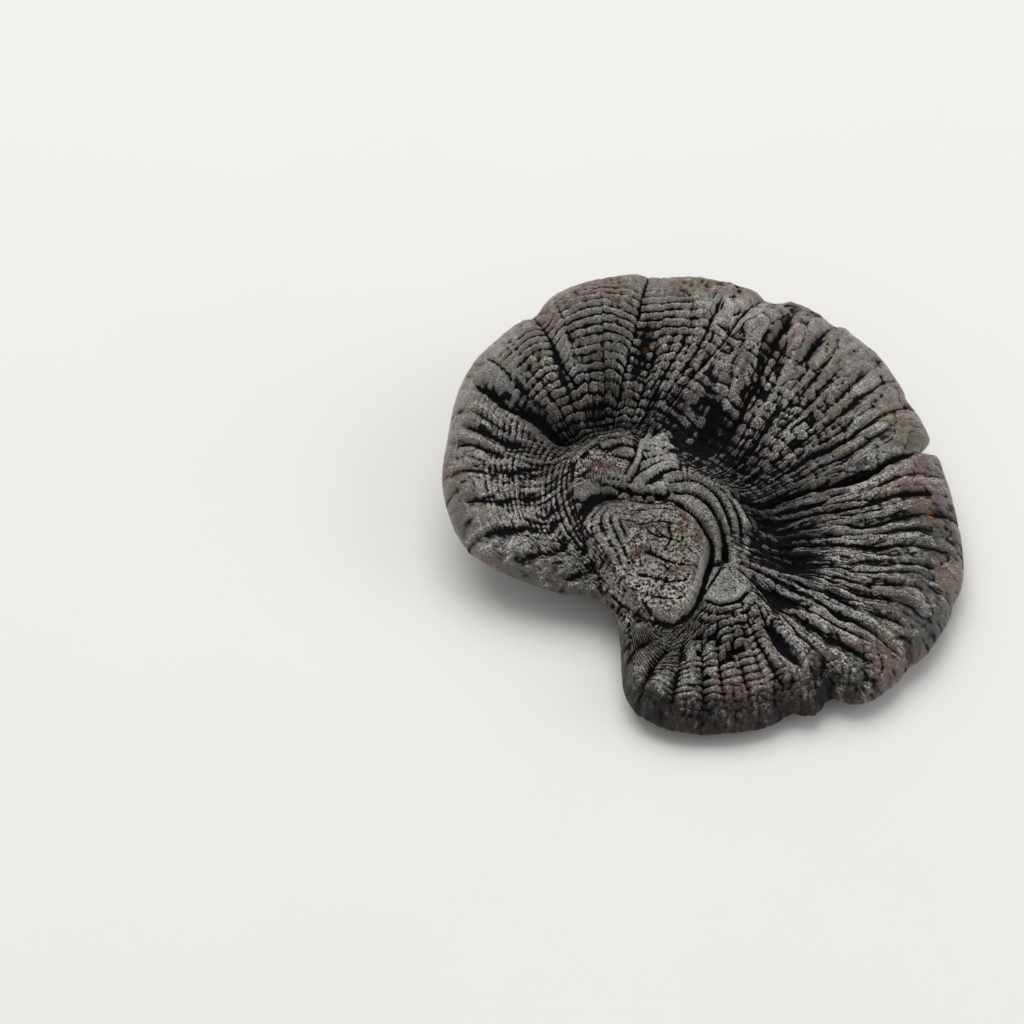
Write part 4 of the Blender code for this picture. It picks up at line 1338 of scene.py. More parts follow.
@dataclass(frozen=True)
class CrustFinish:
    """Blackened crust: charcoal with painted violet shade in its hollows, rust flecks and a grey
    scar.
    """

    char: Colour = (0.046, 0.042, 0.037)
    ash: Colour = (0.160, 0.149, 0.131)
    # crest colour: rubbed grey and painted highlight
    rubbed_and_lit: Colour = (0.560, 0.542, 0.500)
    warm: Colour = (0.490, 0.437, 0.362)
    # painted light grey for the raised back, and painted shade at the front rim
    painted_light_grey: Colour = (0.400, 0.382, 0.350)
    front_shade: Colour = (0.018, 0.015, 0.016)
    # near black: painted shade in crevices, gaps and the scar's hollows, and the black specks and
    # crumbs
    deep: Colour = (0.0014, 0.0012, 0.0015)
    # painted violet shade of the valley and the pockets
    shade_violet: Colour = (0.0030, 0.0021, 0.0054)
    dusk: Colour = (0.050, 0.036, 0.066)
    plum: Colour = (0.200, 0.115, 0.112)
    rosy: Colour = (0.400, 0.302, 0.286)
    # painted glints on the crests
    painted_glint: Colour = (0.720, 0.703, 0.664)
    umber: Colour = (0.180, 0.134, 0.066)
    rust: Colour = (0.38, 0.135, 0.040)
    pale: Colour = (0.385, 0.376, 0.350)
    scar: Colour = (0.670, 0.640, 0.580)
    scar_low: Colour = (0.150, 0.136, 0.120)
    fleck: Colour = (0.125, 0.048, 0.034)
    gloss: float = 0.9
    rough: float = 0.42

    def material(self, effects: Effects) -> Material:
        """Wire the crust's material.

        Args:
            effects: the shared effects.

        Returns:
            The material.
        """
        mat, b, shader = new_material("blackened_crust")
        place, fibres = b.place(), b.own("fibres", "Vector")
        patch = partial(effects.patch, b, place)
        hollow, rimward, scarred, bare, painted_side_light = (
            b.own(name) for name in ("hollow", "rimward", "scar", "bare", "painted_side_light"))
        # charcoal, ashen in streaky patches, with painted light on the raised back and painted
        # shade at the front rim
        streaky = b.noise(fibres, 0.9, 4.0, 0.6)
        tone = b.times(patch(70.0, 0.34, 0.66), b.ramp(streaky, 0.35, 0.65, 0.35, 1.0))
        colour = b.mix(tone, self.char, self.ash)
        colour = b.mix(b.ramp(painted_side_light, 0.25, 1.0, 0.0, 0.8), colour, self.painted_light_grey)
        front_shade = b.ramp(painted_side_light, -0.9, -0.1, 0.8, 0.0)
        colour = b.mix(front_shade, colour, self.front_shade)
        # violet, pink and brown patches
        outside_front_shade = b.maths("SUBTRACT", 1.0, front_shade)
        dim = b.times(patch(48.0, 0.46, 0.62), b.ramp(rimward, 0.3, 0.9, 0.75, 0.3), outside_front_shade)
        colour = b.mix(dim, colour, self.dusk)
        pink = b.times(patch(60.0, 0.49, 0.58), b.ramp(rimward, 0.35, 0.95, 0.15, 0.7), outside_front_shade)
        colour = b.mix(pink, colour, self.plum)
        brown = b.times(patch(95.0, 0.50, 0.64), b.ramp(front_shade, 0.0, 0.6, 0.62, 0.1))
        colour = b.mix(brown, colour, self.umber)
        colour = b.mix(b.times(bare, 0.75), colour, self.pale)
        # crests painted lighter, partly rubbed grey and partly painted highlight, with painted
        # glints on the grit
        grit = b.noise(place, 2000.0, 1.5, 0.7)
        wide = b.times(b.ramp(b.noise(place, 42.0, 3.0, 0.6), 0.38, 0.58, 0.32, 1.15),
                       b.ramp(streaky, 0.40, 0.56, 0.42, 1.3))
        wide = b.maths("MAXIMUM", wide, b.ramp(bare, 0.0, 1.0, 0.0, 0.8))
        crest_lightening = b.times(b.ramp(grit, 0.40, 0.60, 0.12, 1.0), wide,
                       b.ramp(front_shade, 0.0, 0.8, 1.0, 0.42))
        tint = b.ramp(b.noise(place, 130.0, 3.0, 0.6), 0.50, 0.68)
        rubbed_and_lit = b.mix(tint, self.rubbed_and_lit, self.warm)
        rubbed_and_lit = b.mix(b.ramp(pink, 0.15, 0.75, 0.0, 0.9), rubbed_and_lit, self.rosy)
        rubbed_and_lit = b.mix(b.ramp(grit, 0.60, 0.70, 0.0, 0.9), rubbed_and_lit, self.painted_glint)
        painted_relief_tone = b.group(effects.crevice, Colour=colour, Deep=self.deep, Rubbed=rubbed_and_lit,
                       Hollow=hollow, Wear=crest_lightening)
        colour, low = painted_relief_tone.outputs["Colour"], painted_relief_tone.outputs["Low"]
        # black specks, more of them in the painted front shade; painted shade in the torn gaps;
        # painted violet shade in the valley; and rust spots
        speck = b.maths("ADD", b.ramp(rimward, 0.45, 0.95, 0.60, 0.32), b.times(front_shade, 0.5))
        colour = b.mix(b.times(b.ramp(grit, 0.37, 0.51, 1.0, 0.0), speck), colour, self.deep)
        ragged = b.times(b.maths("SUBTRACT", b.noise(fibres, 1.1, 4.0, 0.7), 0.5), 0.9)
        gap_shade = b.ramp(b.maths("ADD", b.own("gap_shade"), ragged), 0.3, 0.6, 0.0, 0.93)
        colour = b.mix(gap_shade, colour, self.deep)
        violet_shade = b.times(b.ramp(b.maths("ADD", b.own("valley_shade"), ragged), 0.36, 0.62),
                       b.ramp(hollow, 0.22, 0.47, 0.50, 0.99))
        colour = b.mix(violet_shade, colour, self.shade_violet)
        rim = b.ramp(rimward, 0.66, 0.95)
        spots = b.times(patch(190.0, 0.67, 0.71), b.ramp(rim, 0.0, 1.0, 0.25, 1.0))
        colour = b.mix(spots, colour, self.rust)
        # the dry, crumbling scar, with painted shade in its hollows
        crumb = b.noise(place, 1100.0, 3.0, 0.7)
        dry = b.mix(b.ramp(crumb, 0.45, 0.56), self.scar_low, self.scar)
        dry = b.mix(b.ramp(crumb, 0.46, 0.38), dry, self.deep)
        dry = b.mix(b.times(patch(170.0, 0.50, 0.60), 0.7), dry, self.fleck)
        dry = b.mix(b.ramp(hollow, 0.53, 0.7), dry, self.deep)
        colour = b.mix(scarred, colour, dry)
        # sheen and grain
        gloss = b.ramp(b.noise(fibres, 1.6), 0.3, 0.7, self.rough - 0.08, self.rough + 0.12)
        gloss = b.maths("ADD", gloss, b.times(low, 0.25), b.times(scarred, 0.18))
        matt = b.maths("MAXIMUM", low, gap_shade, violet_shade, b.times(scarred, 0.6))
        varnish = b.times(b.ramp(matt, 0.0, 0.7, self.gloss, 0.0),
                          b.ramp(grit, 0.36, 0.56, 0.35, 1.0),
                          b.ramp(front_shade, 0.0, 0.8, 1.0, 0.12))
        b.feed(shader, Base_Color=colour, Roughness=gloss, Coat_Weight=varnish,
               Coat_Roughness=0.36, Specular_IOR_Level=0.15)
        grain = b.group(effects.grain, Vector=place, Coarse=1500.0, Pits=0.35)
        threads = b.times(b.noise(fibres, 2.6, 3.0, 0.65), 1.8)
        height = b.maths("ADD", grain.outputs["Height"], threads, grit)
        b.bump(shader, b.maths("SUBTRACT", height, b.times(gap_shade, 0.6)), 0.9, 0.0005)
        return mat


@dataclass(frozen=True)
class PoreFinish:
    """Brown underside with fine round pores."""

    tan: Colour = (0.074, 0.054, 0.039)
    brown: Colour = (0.038, 0.029, 0.023)
    # dark brown of the pores, and of the painted shade in the underside's hollows
    dark: Colour = (0.016, 0.012, 0.010)

    def material(self, effects: Effects) -> Material:
        """Wire the underside's material.

        Args:
            effects: the shared effects.

        Returns:
            The material.
        """
        mat, b, shader = new_material("pored_underside")
        place = b.place()
        stain = effects.patch(b, place, 55.0, 0.36, 0.62)
        # painted shade in the hollows of the underside's relief, and its rises painted lighter
        painted_relief_tone = b.group(effects.crevice, Colour=b.mix(stain, self.brown, self.tan),
                       Deep=self.dark, Rubbed=self.tan, Hollow=b.own("hollow"), Wear=0.4)
        grain = b.group(effects.grain, Vector=place, Coarse=2600.0, Pits=1.0)
        pores = b.times(grain.outputs["Pinholes"], 0.75)
        b.feed(shader, Base_Color=b.mix(pores, painted_relief_tone.outputs["Colour"], self.dark),
               Roughness=b.ramp(stain, 0.0, 1.0, 0.72, 0.86))
        b.bump(shader, grain.outputs["Height"], 0.7, 0.0002)
        return mat


@dataclass(frozen=True)
class StemFinish:
    """Dark bark of the stem and the paler, fibrous cut."""

    bark: Colour = (0.030, 0.024, 0.021)
    bark_light: Colour = (0.070, 0.050, 0.040)
    cut: Colour = (0.150, 0.085, 0.045)
    cut_dark: Colour = (0.055, 0.030, 0.018)

    def material(self, effects: Effects) -> Material:
        """Wire the stem's material.

        Args:
            effects: the shared effects.

        Returns:
            The material.
        """
        mat, b, shader = new_material("cut_stem")
        place, face = b.place(), b.own("cut_face")
        bark = b.mix(effects.patch(b, place, 130.0, 0.38, 0.62), self.bark, self.bark_light)
        cut = b.mix(b.ramp(b.noise(place, 420.0, 4.0, 0.65), 0.36, 0.64), self.cut_dark, self.cut)
        b.feed(shader, Base_Color=b.mix(face, bark, cut),
               Roughness=b.ramp(face, 0.0, 1.0, 0.6, 0.85))
        grain = b.group(effects.grain, Vector=place, Coarse=1700.0, Pits=0.6)
        b.bump(shader, grain.outputs["Height"], 0.6, 0.0003)
        return mat


@dataclass(frozen=True)
class FloorFinish:
    """Plain pale paper floor."""

    pale: Colour = (0.86, 0.853, 0.835)
    shade: Colour = (0.845, 0.84, 0.825)

    def material(self, effects: Effects) -> Material:
        """Wire the floor's material.

        Args:
            effects: the shared effects.

        Returns:
            The material.
        """
        mat, b, shader = new_material("pale_paper")
        cloud = effects.patch(b, b.place(), 6.0, 0.3, 0.7)
        b.feed(shader, Base_Color=b.mix(cloud, self.pale, self.shade), Roughness=0.9,
               Specular_IOR_Level=0.2)
        return mat


# ---- work at the bench with Blender's operators ----

def mode(name: str) -> None:
    """Switch the active piece to object mode or edit mode."""
    bpy.ops.object.mode_set(mode=name)


def leave() -> None:
    """Select nothing and go back to object mode."""
    bpy.ops.mesh.select_all(action="DESELECT")
    mode("OBJECT")


def take(obj: Object | None = None) -> None:
    """Select one object alone and make it active, or select nothing.

    Args:
        obj: the object, or none.
    """
    if bpy.context.object and bpy.context.object.mode != "OBJECT":
        mode("OBJECT")
    bpy.ops.object.select_all(action="DESELECT")
    if obj:
        obj.select_set(True)
        bpy.context.view_layer.objects.active = obj


def named(name: str) -> Object:
    """Name the piece that was just added.

    Args:
        name: its name.

    Returns:
        The object.
    """
    obj = bpy.context.object
    obj.name = obj.data.name = name
    return obj


def blank(name: str, columns: int, rows: int) -> Object:
    """Add a squat drum and cut its wall into one ring of corners for each row.

    Args:
        name: the piece's name.
        columns: corners round it.
        rows: rings between its poles.

    Returns:
        The object.
    """
    take()
    bpy.ops.mesh.primitive_cylinder_add(vertices=columns, radius=BLANK_RADIUS, depth=BLANK_DEPTH,
                                        end_fill_type="TRIFAN",
                                        location=(0, 0, 0.5 * BLANK_DEPTH))
    obj = named(name)
    bpy.ops.object.transform_apply(location=True, rotation=True, scale=True)
    mode("EDIT")
    bpy.ops.mesh.select_mode(type="EDGE")
    leave()
    places = [v.co.z for v in obj.data.vertices]
    for edge in obj.data.edges:
        a, b = edge.vertices
        edge.select = abs(places[a] - places[b]) > 0.5 * BLANK_DEPTH
    mode("EDIT")
    bpy.ops.mesh.subdivide_edgering(number_cuts=rows - 2, interpolation="LINEAR")
    bpy.ops.mesh.select_mode(type="VERT")
    leave()
    return obj


def corners(obj: Object) -> Array:
    """Read the places of a piece's corners.

    Args:
        obj: the piece.

    Returns:
        A row of x, y and z in metres for each corner.
    """
    co = np.empty(len(obj.data.vertices) * 3)
    obj.data.vertices.foreach_get("co", co)
    return co.reshape(-1, 3)


def move_corners(obj: Object, places: Array) -> None:
    """Move a piece's corners to places in millimetres."""
    obj.data.vertices.foreach_set("co", (places * MM).ravel())
    obj.data.update()


def sculpt(obj: Object, rows: list[Array], top: Array, bottom: Array) -> Array:
    """Move a drum's corners to the rows of a piece, as with a sculpting brush.

    Args:
        obj: the drum, straight from blank().
        rows: rings of points from top to bottom, in millimetres.
        top, bottom: the poles.

    Returns:
        For each corner its row, from 0 at the top pole, and its column.
    """
    co = corners(obj) - (0, 0, 0.5 * BLANK_DEPTH)
    count, columns = len(rows), len(rows[0])
    assert len(co) == count * columns + 2, "the drum has another number of corners"
    level = np.round((0.5 - co[:, 2] / BLANK_DEPTH) * (count - 1)).astype(int)
    pole = np.hypot(co[:, 0], co[:, 1]) < 1e-6
    row = np.where(pole, np.where(co[:, 2] > 0, 0, count + 1), level + 1)
    turn = np.mod(np.arctan2(co[:, 1], co[:, 0]) / (2 * math.pi) * columns, columns)
    column = np.round(turn).astype(int) % columns
    table = np.stack([np.broadcast_to(top, (columns, 3)), *rows,
                      np.broadcast_to(bottom, (columns, 3))])
    move_corners(obj, table[row, column])
    return np.stack([row, column], -1)


def write_mask(obj: Object, name: str, values: Array) -> None:
    """Store a number or a vector for every corner of a piece.

    Args:
        obj: the piece.
        name: the attribute.
        values: one value or three for each corner.
    """
    kind, key = ("FLOAT_VECTOR", "vector") if values.ndim == 2 else ("FLOAT", "value")
    attribute = obj.data.attributes.new(name, kind, "POINT")
    attribute.data.foreach_set(key, np.ascontiguousarray(values, np.float32).ravel())


def outward(obj: Object) -> None:
    """Turn all faces of a piece outwards and shade it smooth.

    Args:
        obj: the piece.
    """
    take(obj)
    mode("EDIT")
    bpy.ops.mesh.select_all(action="SELECT")
    bpy.ops.mesh.normals_make_consistent(inside=False)
    leave()
    bpy.ops.object.shade_smooth()


def triangles_of(obj: Object) -> int:
    """Count the triangles that a piece's faces come to."""
    return sum(len(p.vertices) - 2 for p in obj.data.polygons)


def thin(obj: Object, triangles: int) -> None:
    """Collapse the smallest triangles until a piece has about so many.

    Args:
        obj: the piece.
        triangles: how many to keep.
    """
    now = triangles_of(obj)
    if now > triangles:
        take(obj)
        cut = obj.modifiers.new("thin", "DECIMATE")
        cut.ratio = triangles / now
        bpy.ops.object.modifier_apply(modifier=cut.name)


# ---- the pieces ----

@dataclass
class RimRays:
    """Straight lines in plan from the rim's edge to the stem's foot."""

    form: CapForm
    rim: Array
    inside: float = 0.0     # how far inside the stem's flare they end
    ang: Array = field(init=False)
    foot: Array = field(init=False)
    length: Array = field(init=False)

    def __post_init__(self) -> None:
        """Find where each line ends and how long it is."""
        form, self.ang = self.form, np.arctan2(self.rim[:, 1], self.rim[:, 0])
        self.foot = np.stack(
            [np.cos(self.ang) * (form.stem_x + form.stem_flare - self.inside),
             np.sin(self.ang) * (form.stem_y + form.stem_flare - self.inside)], -1)
        self.length = np.hypot(*(self.foot - self.rim[:, :2]).T)

    def plan(self, inset: Array) -> Array:
        """Give the plan points at a distance from the rim's edge."""
        start = self.rim[:, :2]
        return start + (self.foot - start) * (inset / self.length)[:, None]

    def ring(self, inset: Array, lift: Array | float) -> Array:
        """Give the points of the underside at a distance from the rim's edge, lifted."""
        xy = self.plan(inset)
        return np.column_stack([xy, self.form.under(self.rim, inset, xy) + lift])


@dataclass
class Piece:
    """A visible piece of the cap: it is built, and then dressed."""

    form: CapForm
    finish: CrustFinish | PoreFinish | StemFinish

    def dress(self, piece: Object, effects: Effects) -> None:
        """Give the piece its finish, and tell the frame what it is and moves with.

        Args:
            piece: what was built.
            effects: the shared effects.
        """
        piece.data.materials.append(self.finish.material(effects))
        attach(piece, "root")
        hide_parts("cap")


@dataclass
class CapCrust(Piece):
    """The crust: upper side, hub and rolled rim, closed beneath."""

    fan: Fan
    hub_rows: int = 46
    step_pitch: float = 2.5     # growth steps on the hub
    fibres: Place = (60, 60, 13)    # round the cap, twice, and from hub to rim
    turn_rows: int = 5          # rows round the rim's lower edge
    lip_rows: tuple[float, ...] = (4.3, 5.6, 7.0, 8.4)
    lip: float = 9.2            # how far in from the rim the crust shows beneath
    floor_rows: int = 12
    triangles: int = 196000

    def hub(self, edge: Array) -> dict[str, Array]:
        """Work out the hub inside its edge.

        Args:
            edge: points of the hub's edge, one for each column.

        Returns:
            Points and relief, rows by columns, and the middle point.
        """
        run = np.hypot(*(np.roll(edge, -1, 0) - edge)[:, :2].T)
        place = np.concatenate([[0], np.cumsum(run)[:-1]]) / run.sum()
        even = np.arange(len(edge)) / len(edge)
        even = even + np.mean(place - even)
        t = (np.arange(1, self.hub_rows) / self.hub_rows)[:, None]
        at = np.mod(even + (place - even) * step(0.25, 1.0, t), 1)
        loop, spots = np.concatenate([edge, edge[:1]]), np.concatenate([place, [1.0]])
        ring = np.stack([np.interp(at, spots, loop[:, k]) for k in range(2)], -1)
        middle = self.form.hub_middle
        xy = np.array(middle) + (ring - middle) * t[..., None]
        relief, z = self._hub_height(xy[..., 0], xy[..., 1])
        plain = loop[:, 2] - self._hub_height(loop[:, 0], loop[:, 1])[1]
        z = z + np.interp(at, spots, plain) * t**5
        _, top = self._hub_height(*np.array(middle)[:, None, None])
        return {"points": np.concatenate([xy, z[..., None]], -1), "relief": relief,
                "middle": np.array([*middle, top[0, 0]])}

    def _hub_height(self, x: Array, y: Array) -> tuple[Array, Array]:
        """Work out relief and height of the hub.

        Args:
            x, y: plan places.

        Returns:
            The relief and the whole height.
        """
        form, away = self.form, -HUMP.inset(x, y)
        plain = (1 - form.bare(x, y)) * (1 - form.scar(x, y))
        plain = plain * (1 - step(-26, -20, x) * (away < 0.6))
        phase = away / self.step_pitch + 0.4 * lumps(x, y, 6.0, 6)
        ring = 1 - np.abs(2 * np.mod(phase, 1) - 1) ** 2.4
        uneven = 0.8 + 0.6 * lumps(x, y, 4.4, 7)
        steps = (1.1 * (ring - 0.6) * uneven + 0.55 * pebbles(x, y, 2.1, 8)) * plain
        relief = form.hub_relief(x, y) + form.rough(x, y) + steps
        return relief, form.hub_height + swell(x, y) + relief

    def lower_rows(self, rim: Array) -> list[Array]:
        """Work out the rim's underside and the hidden floor behind it.

        Args:
            rim: points of the rim's edge.

        Returns:
            Rings of points from the rim inwards.
        """
        rays = RimRays(self.form, rim)
        bend = np.arange(1, self.turn_rows + 1) / self.turn_rows * math.pi / 2
        insets = [self.form.rim_roll * (1 - math.cos(b)) for b in bend]
        insets += [*self.lip_rows, self.lip]
        rows = [rays.ring(np.minimum(inset, 0.72 * rays.length), 0.0) for inset in insets]
        first = np.minimum(self.lip + 0.7, 0.78 * rays.length)
        return rows + [rays.ring(first + (rays.length - first) * share, 0.8)
                       for share in np.linspace(0.0, 0.94, self.floor_rows)]

    def build(self) -> Object:
        """Make the crust's mesh and its masks.

        Returns:
            The crust.
        """
        points = self.fan.points
        hub, lower = self.hub(points[0]), self.lower_rows(points[-1])
        rows = [*hub["points"], *points, *lower]
        floor = np.array([0.0, 0.0, lower[-1][:, 2].min()])
        obj = blank("cap_crust", points.shape[1], len(rows))
        where = sculpt(obj, rows, hub["middle"], floor)
        self.masks(obj, where, hub, len(lower))
        thin(obj, self.triangles)
        outward(obj)
        return obj

    def masks(self, obj: Object, where: Array, hub: dict[str, Array], below: int) -> None:
        """Write what the material has to know about each corner.

        Args:
            obj: the crust.
            where: row and column of each corner.
            hub: the hub's points and relief.
            below: number of rows under the rim.
        """
        form, fan, none = self.form, self.fan, np.zeros(hub["relief"].shape)
        relief = np.concatenate([hub["relief"], fan.relief])
        s, rubbed_and_lit, gap_shade = (np.concatenate([none, a]) for a in (fan.s, fan.rubbed_and_lit, fan.gap_shade))
        deg = np.concatenate([np.repeat(fan.deg[:1], len(none), 0), fan.deg])
        points = np.concatenate([hub["points"], fan.points])
        x, y, z = points[..., 0], points[..., 1], points[..., 2]
        scar, bare = form.scar(x, y), form.bare(x, y)
        # how far each corner lies below its neighbourhood, which sets the painted shade in hollows
        # and the lighter crests
        near = soften(relief, 3, 3, 2) - relief
        wide = soften(relief, 11, 10, 2) - relief
        close = soften(relief, 1, 1) - relief
        hollow = 0.7 * close + 0.55 * near + 0.12 * wide * (1 - 0.7 * step(0.5, 0.85, s))
        hollow = 0.5 + hollow * (1 - 0.62 * step(0.55, 0.9, s))
        hollow = np.clip(hollow - rubbed_and_lit, 0, 1)
        # painted shade in the valley round the hub and in the pockets
        valley_shade = step(0.5, 6.5, form.hub_height - soften(z, 9, 9, 2)) * (1 - step(0.42, 0.72, s))
        valley_shade = np.clip(0.75 * valley_shade * (1 - 0.8 * sector(deg, -92, 48, 62)), 0, 1)
        valley_shade = np.maximum(valley_shade, form.pockets_and_shade(deg, s)[1] * (s > 0.02)) * (1 - 0.9 * bare)
        # painted light on the raised back and painted shade at the front rim; the hub is lighter
        # too, save the scar and the curled rolls, which are kept darker, and less pale, as painted
        # shade
        rolls = step(-16.0, -11.0, x) * step(-19.0, -15.0, y) * step(16.0, 12.0, y)
        painted_side_light = s * np.clip(0.55 + 0.55 * np.sin(np.radians(deg - 14)), 0, 1)
        painted_side_light = painted_side_light + 0.5 * (s <= 0) * (1 - scar) * (1 - 0.8 * rolls)
        painted_side_light = painted_side_light - sector(deg, -92, 26, 44) * step(0.78, 0.92, s)
        ang = np.radians(deg)
        fibres = np.stack([np.cos(ang), np.sin(ang), s], -1) * self.fibres
        # each mask with its value at the upper pole and on the underside
        for name, values, top, under in (
                ("hollow", hollow, 0.5, 0.5), ("scar", scar, 1.0, 0.0),
                ("bare", bare * (1 - 0.75 * rolls), 0.0, 0.0), ("valley_shade", valley_shade, 0.0, 0.0),
                ("gap_shade", gap_shade, 0.0, 0.0), ("painted_side_light", painted_side_light, 0.3, 0.2),
                ("rimward", s, 0.0, 1.0), ("fibres", fibres, fibres[:1], fibres[-1:])):
            rows = np.concatenate([np.broadcast_to(top, values[:1].shape), values,
                                   np.broadcast_to(under, (below + 1, *values.shape[1:]))])
            write_mask(obj, name, rows[where[:, 0], where[:, 1]])


@dataclass
class PoreLayer(Piece):
    """The pored underside, let into the crust a little inside its lip."""

    rim: Array
    start: float = 8.6
    rows: int = 56
    joint: float = 0.3      # how far it hangs below the crust's own floor
    thick: float = 1.2

    def build(self) -> Object:
        """Make the pore layer's mesh and its mask.

        Returns:
            The layer.
        """
        form, rays = self.form, RimRays(self.form, self.rim, 2.0)
        deg = np.degrees(rays.ang)
        first = np.minimum(self.start, 0.66 * rays.length)
        rings, reliefs = [], []
        for k in range(self.rows):
            q = (k / (self.rows - 1)) ** 1.1
            d = first + 0.3 + (rays.length - first - 0.3) * q
            xy = rays.plan(d)
            x, y = xy.T
            relief = 0.35 * lumps(x, y, 6.0, 30) + 0.14 * lumps(x, y, 2.2, 31)
            relief = relief + 0.22 * np.sin(d * 1.05 + 1.5 * lumps(x, y, 16.0, 32))
            relief = relief + 0.25 * streaks(deg, 1 - d / 70, 120, 6, 33)
            z = (form.under(self.rim, d, xy) - self.joint
                 - relief * step(0.0, 0.1, np.full(1, q)))
            rings.append(np.column_stack([x, y, np.maximum(z, form.floor_gap - 0.1)]))
            reliefs.append(relief)
        lip = rings[0].copy()
        lip[:, :2] = rays.plan(first)
        wall = lip + (0, 0, self.thick)
        lip[:, 2] += self.joint
        upper = [ring + (0, 0, self.thick) for ring in rings[::-4]] + [wall, lip]
        obj = blank("pore_layer", len(self.rim), len(rings) + len(upper))
        where = sculpt(obj, upper + rings, upper[0].mean(0), rings[-1].mean(0))
        relief = np.array(reliefs)
        # how far each corner lies below its neighbourhood, for painted shade
        hollow = np.clip(0.5 + 0.3 * (relief - soften(relief, 4, 4)), 0, 1)
        pad = np.full((len(upper) + 1, len(self.rim)), 0.5)
        hollow = np.concatenate([pad, hollow, pad[:1]])
        write_mask(obj, "hollow", hollow[where[:, 0], where[:, 1]])
        outward(obj)
        return obj


@dataclass
class StemStump(Piece):
    """The short stem, flared into the cap and cut flat beneath."""

    sides: int = 180
    levels: tuple[Point, ...] = (
        (0.5, 0.45), (1.2, 0.5), (2.2, 0.45), (3.4, 0.75), (4.6, 1.5), (5.8, 2.6),
        (7.0, 4.0), (8.2, 5.2), (9.6, 5.6))
    insets: tuple[float, ...] = (0.5, 1.5, 2.2, 3.0, 3.0, 3.0)
    cut_edge: float = 2.5       # plain band round the pitted cut

    def build(self) -> Object:
        """Extrude the stump level by level and inset its cut face.

        Returns:
            The stump.
        """
        form = self.form
        take()
        bpy.ops.mesh.primitive_circle_add(vertices=self.sides, radius=form.stem_x * MM,
                                          fill_type="NGON", location=(0, 0, 0))
        obj = named("stem_stump")
        mode("EDIT")
        bpy.ops.mesh.select_all(action="SELECT")
        bpy.ops.transform.resize(value=(1.0, form.stem_y / form.stem_x, 1.0))
        height, reach = 0.0, 0.0
        for level, flare in self.levels:
            grow = (form.stem_x + flare) / (form.stem_x + reach)
            bpy.ops.mesh.extrude_region_move(
                TRANSFORM_OT_translate={"value": (0, 0, (level - height) * MM)})
            bpy.ops.transform.resize(value=(grow, grow, 1.0))
            height, reach = level, flare
        mode("OBJECT")
        self.inset_cut(obj)
        self.sculpt(obj)
        outward(obj)
        return obj

    def inset_cut(self, obj: Object) -> None:
        """Inset the flat cut in rings, so that it can be worked.

        Args:
            obj: the stump.
        """
        for polygon in obj.data.polygons:
            polygon.select = abs(polygon.center.z) < 1e-6
        mode("EDIT")
        bpy.ops.mesh.select_mode(type="FACE")
        for inset in self.insets:
            bpy.ops.mesh.inset(thickness=inset * MM, depth=0.0)
        bpy.ops.mesh.select_mode(type="VERT")
        leave()

    def sculpt(self, obj: Object) -> None:
        """Wrinkle the bark, and pit the cut without leaving its plane.

        Args:
            obj: the stump.
        """
        co = corners(obj) / MM
        deg = np.degrees(np.arctan2(co[:, 1], co[:, 0]))
        radius = np.hypot(co[:, 0], co[:, 1])
        roof = np.array([self.form.roof(x, y) for x, y in co[:, :2]])
        reach = max(level for level, _ in self.levels)
        co[:, 2] *= np.clip(np.maximum(roof - self.form.flesh + 1.8, 2.6) / reach, 0.2, 1)
        side = step(0.2, 1.0, co[:, 2])
        wrinkle = streaks(deg, co[:, 2] / 12, 46, 3, 40) * 0.45
        wrinkle += streaks(deg, co[:, 2] / 12, 90, 5, 41) * 0.2
        co[:, :2] *= (1 + side * (wrinkle - 0.3) / np.maximum(radius, 1))[:, None]
        face = co[:, 2] < 0.1
        inner = face & (radius < self.form.stem_y - self.cut_edge)
        pitted = np.clip(lumps(co[:, 0], co[:, 1], 2.4, 42) - 0.1, 0, 1) * 0.35
        co[inner, 2] += pitted[inner]
        move_corners(obj, co)
        write_mask(obj, "cut_face", face.astype(float))


@dataclass(frozen=True)
class Lamp:
    """A soft square light: its name, place, side, power in watts and colour."""

    name: str
    place: Place
    size: float
    power: float
    colour: Colour


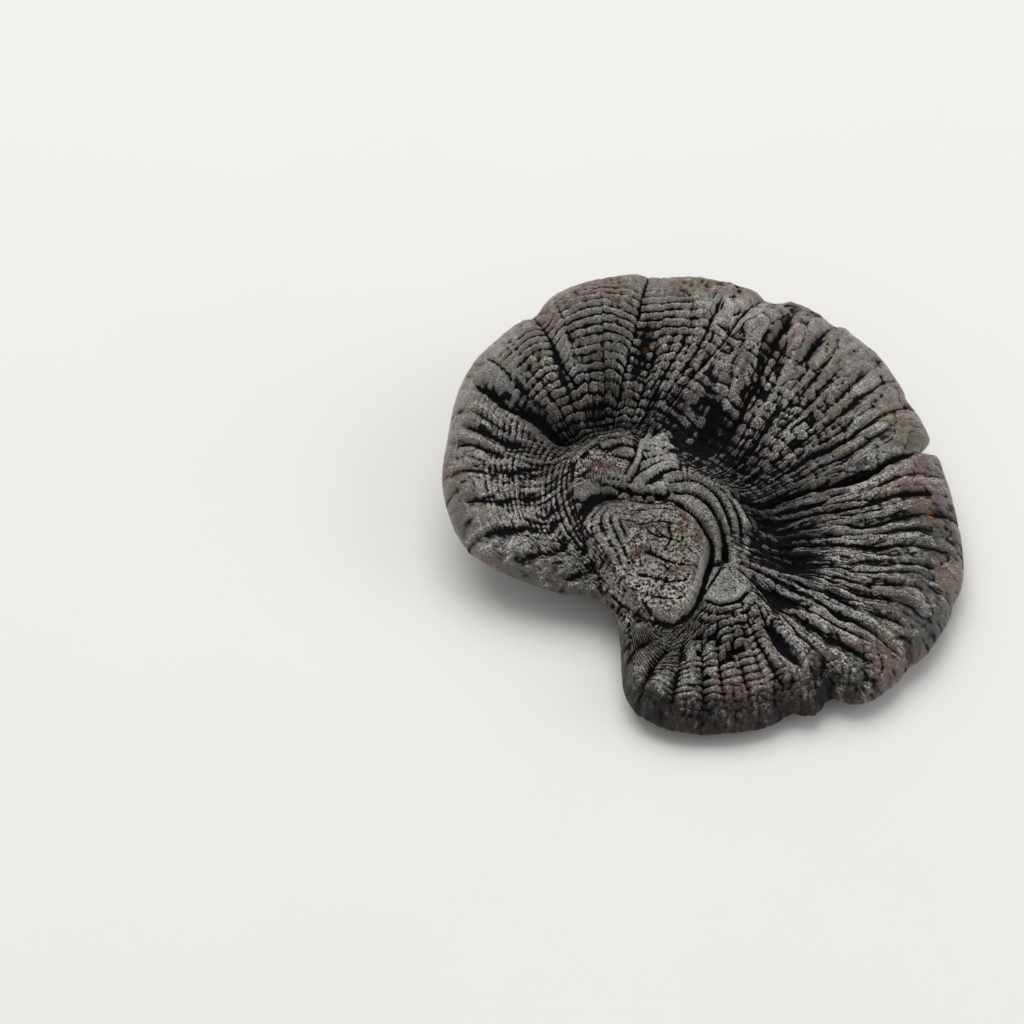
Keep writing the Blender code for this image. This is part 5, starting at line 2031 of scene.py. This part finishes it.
@dataclass
class Studio:
    """Floor, lights and camera."""

    camera_at: Place = (-0.059, -0.45174, 0.55513)
    aim: Place = (0, 0, 0.02)
    tilt: float = 50.0
    lens: float = 85.0
    sensor: float = 36.0
    floor_radius: float = 4.0
    sky: float = 0.42
    key: Lamp = Lamp("key", (-0.28, 0.85, 2.0), 1.9, 34.6, (1.0, 0.988, 0.968))
    fill: Lamp = Lamp("fill", (1.5, -0.05, 1.0), 1.2, 4.5, (0.94, 0.97, 1.0))

    def floor(self, effects: Effects) -> None:
        """Lay the pale floor.

        Args:
            effects: the shared effects.
        """
        take()
        bpy.ops.mesh.primitive_circle_add(vertices=96, radius=self.floor_radius,
                                          fill_type="NGON", 
                                          location=(0, 0, 0))
        obj = named("floor")
        obj.data.materials.append(FloorFinish().material(effects))

    def light(self, lamp: Lamp) -> None:
        """Hang a light that faces the cap.

        Args:
            lamp: the light.
        """
        data = bpy.data.lights.new(lamp.name, "AREA")
        data.shape, data.size = "SQUARE", lamp.size
        data.energy, data.color = lamp.power, lamp.colour
        obj = bpy.data.objects.new(lamp.name, data)
        obj.location = lamp.place
        aim = Vector(self.aim) - Vector(lamp.place)
        obj.rotation_euler = aim.to_track_quat("-Z", "Y").to_euler()
        bpy.context.scene.collection.objects.link(obj)

    def lights(self) -> None:
        """Set the sky's glow, the key light high on the left and a fill."""
        world = bpy.data.worlds.new("soft_sky")
        world.use_nodes = True
        glow = world.node_tree.nodes["Background"]
        glow.inputs["Color"].default_value = (1.0, 0.995, 0.985, 1.0)
        glow.inputs["Strength"].default_value = self.sky
        bpy.context.scene.world = world
        self.light(self.key)
        self.light(self.fill)

    def camera(self) -> None:
        """Stand the camera where the photograph was taken from."""
        data = bpy.data.cameras.new("camera")
        data.lens, data.sensor_width, data.sensor_fit = self.lens, self.sensor, "HORIZONTAL"
        data.clip_start = 0.05
        obj = bpy.data.objects.new("camera", data)
        obj.location = self.camera_at
        obj.rotation_euler = (math.radians(90 - self.tilt), 0, 0)
        bpy.context.scene.collection.objects.link(obj)
        bpy.context.scene.camera = obj
        bpy.context.scene.view_settings.view_transform = "Standard"


def report(piece: Object) -> None:
    """Log a piece's name, number of triangles and size."""
    size = ", ".join(f"{v / MM:.1f}" for v in piece.dimensions)
    log.info("%s: %d triangles, %s mm", piece.name, triangles_of(piece), size)


def main() -> None:
    """Build the pieces in order, then the studio."""
    logging.basicConfig(level=logging.INFO, format="%(name)s: %(message)s")
    form, effects = CapForm(), Effects()
    fan = Fan(form)
    for part in (CapCrust(form, CrustFinish(), fan),
                 PoreLayer(form, PoreFinish(), fan.points[-1][::3]),
                 StemStump(form, StemFinish())):
        piece = part.build()
        part.dress(piece, effects)
        report(piece)
    studio = Studio()
    studio.floor(effects)
    studio.lights()
    studio.camera()


if __name__ == "__main__":
    main()
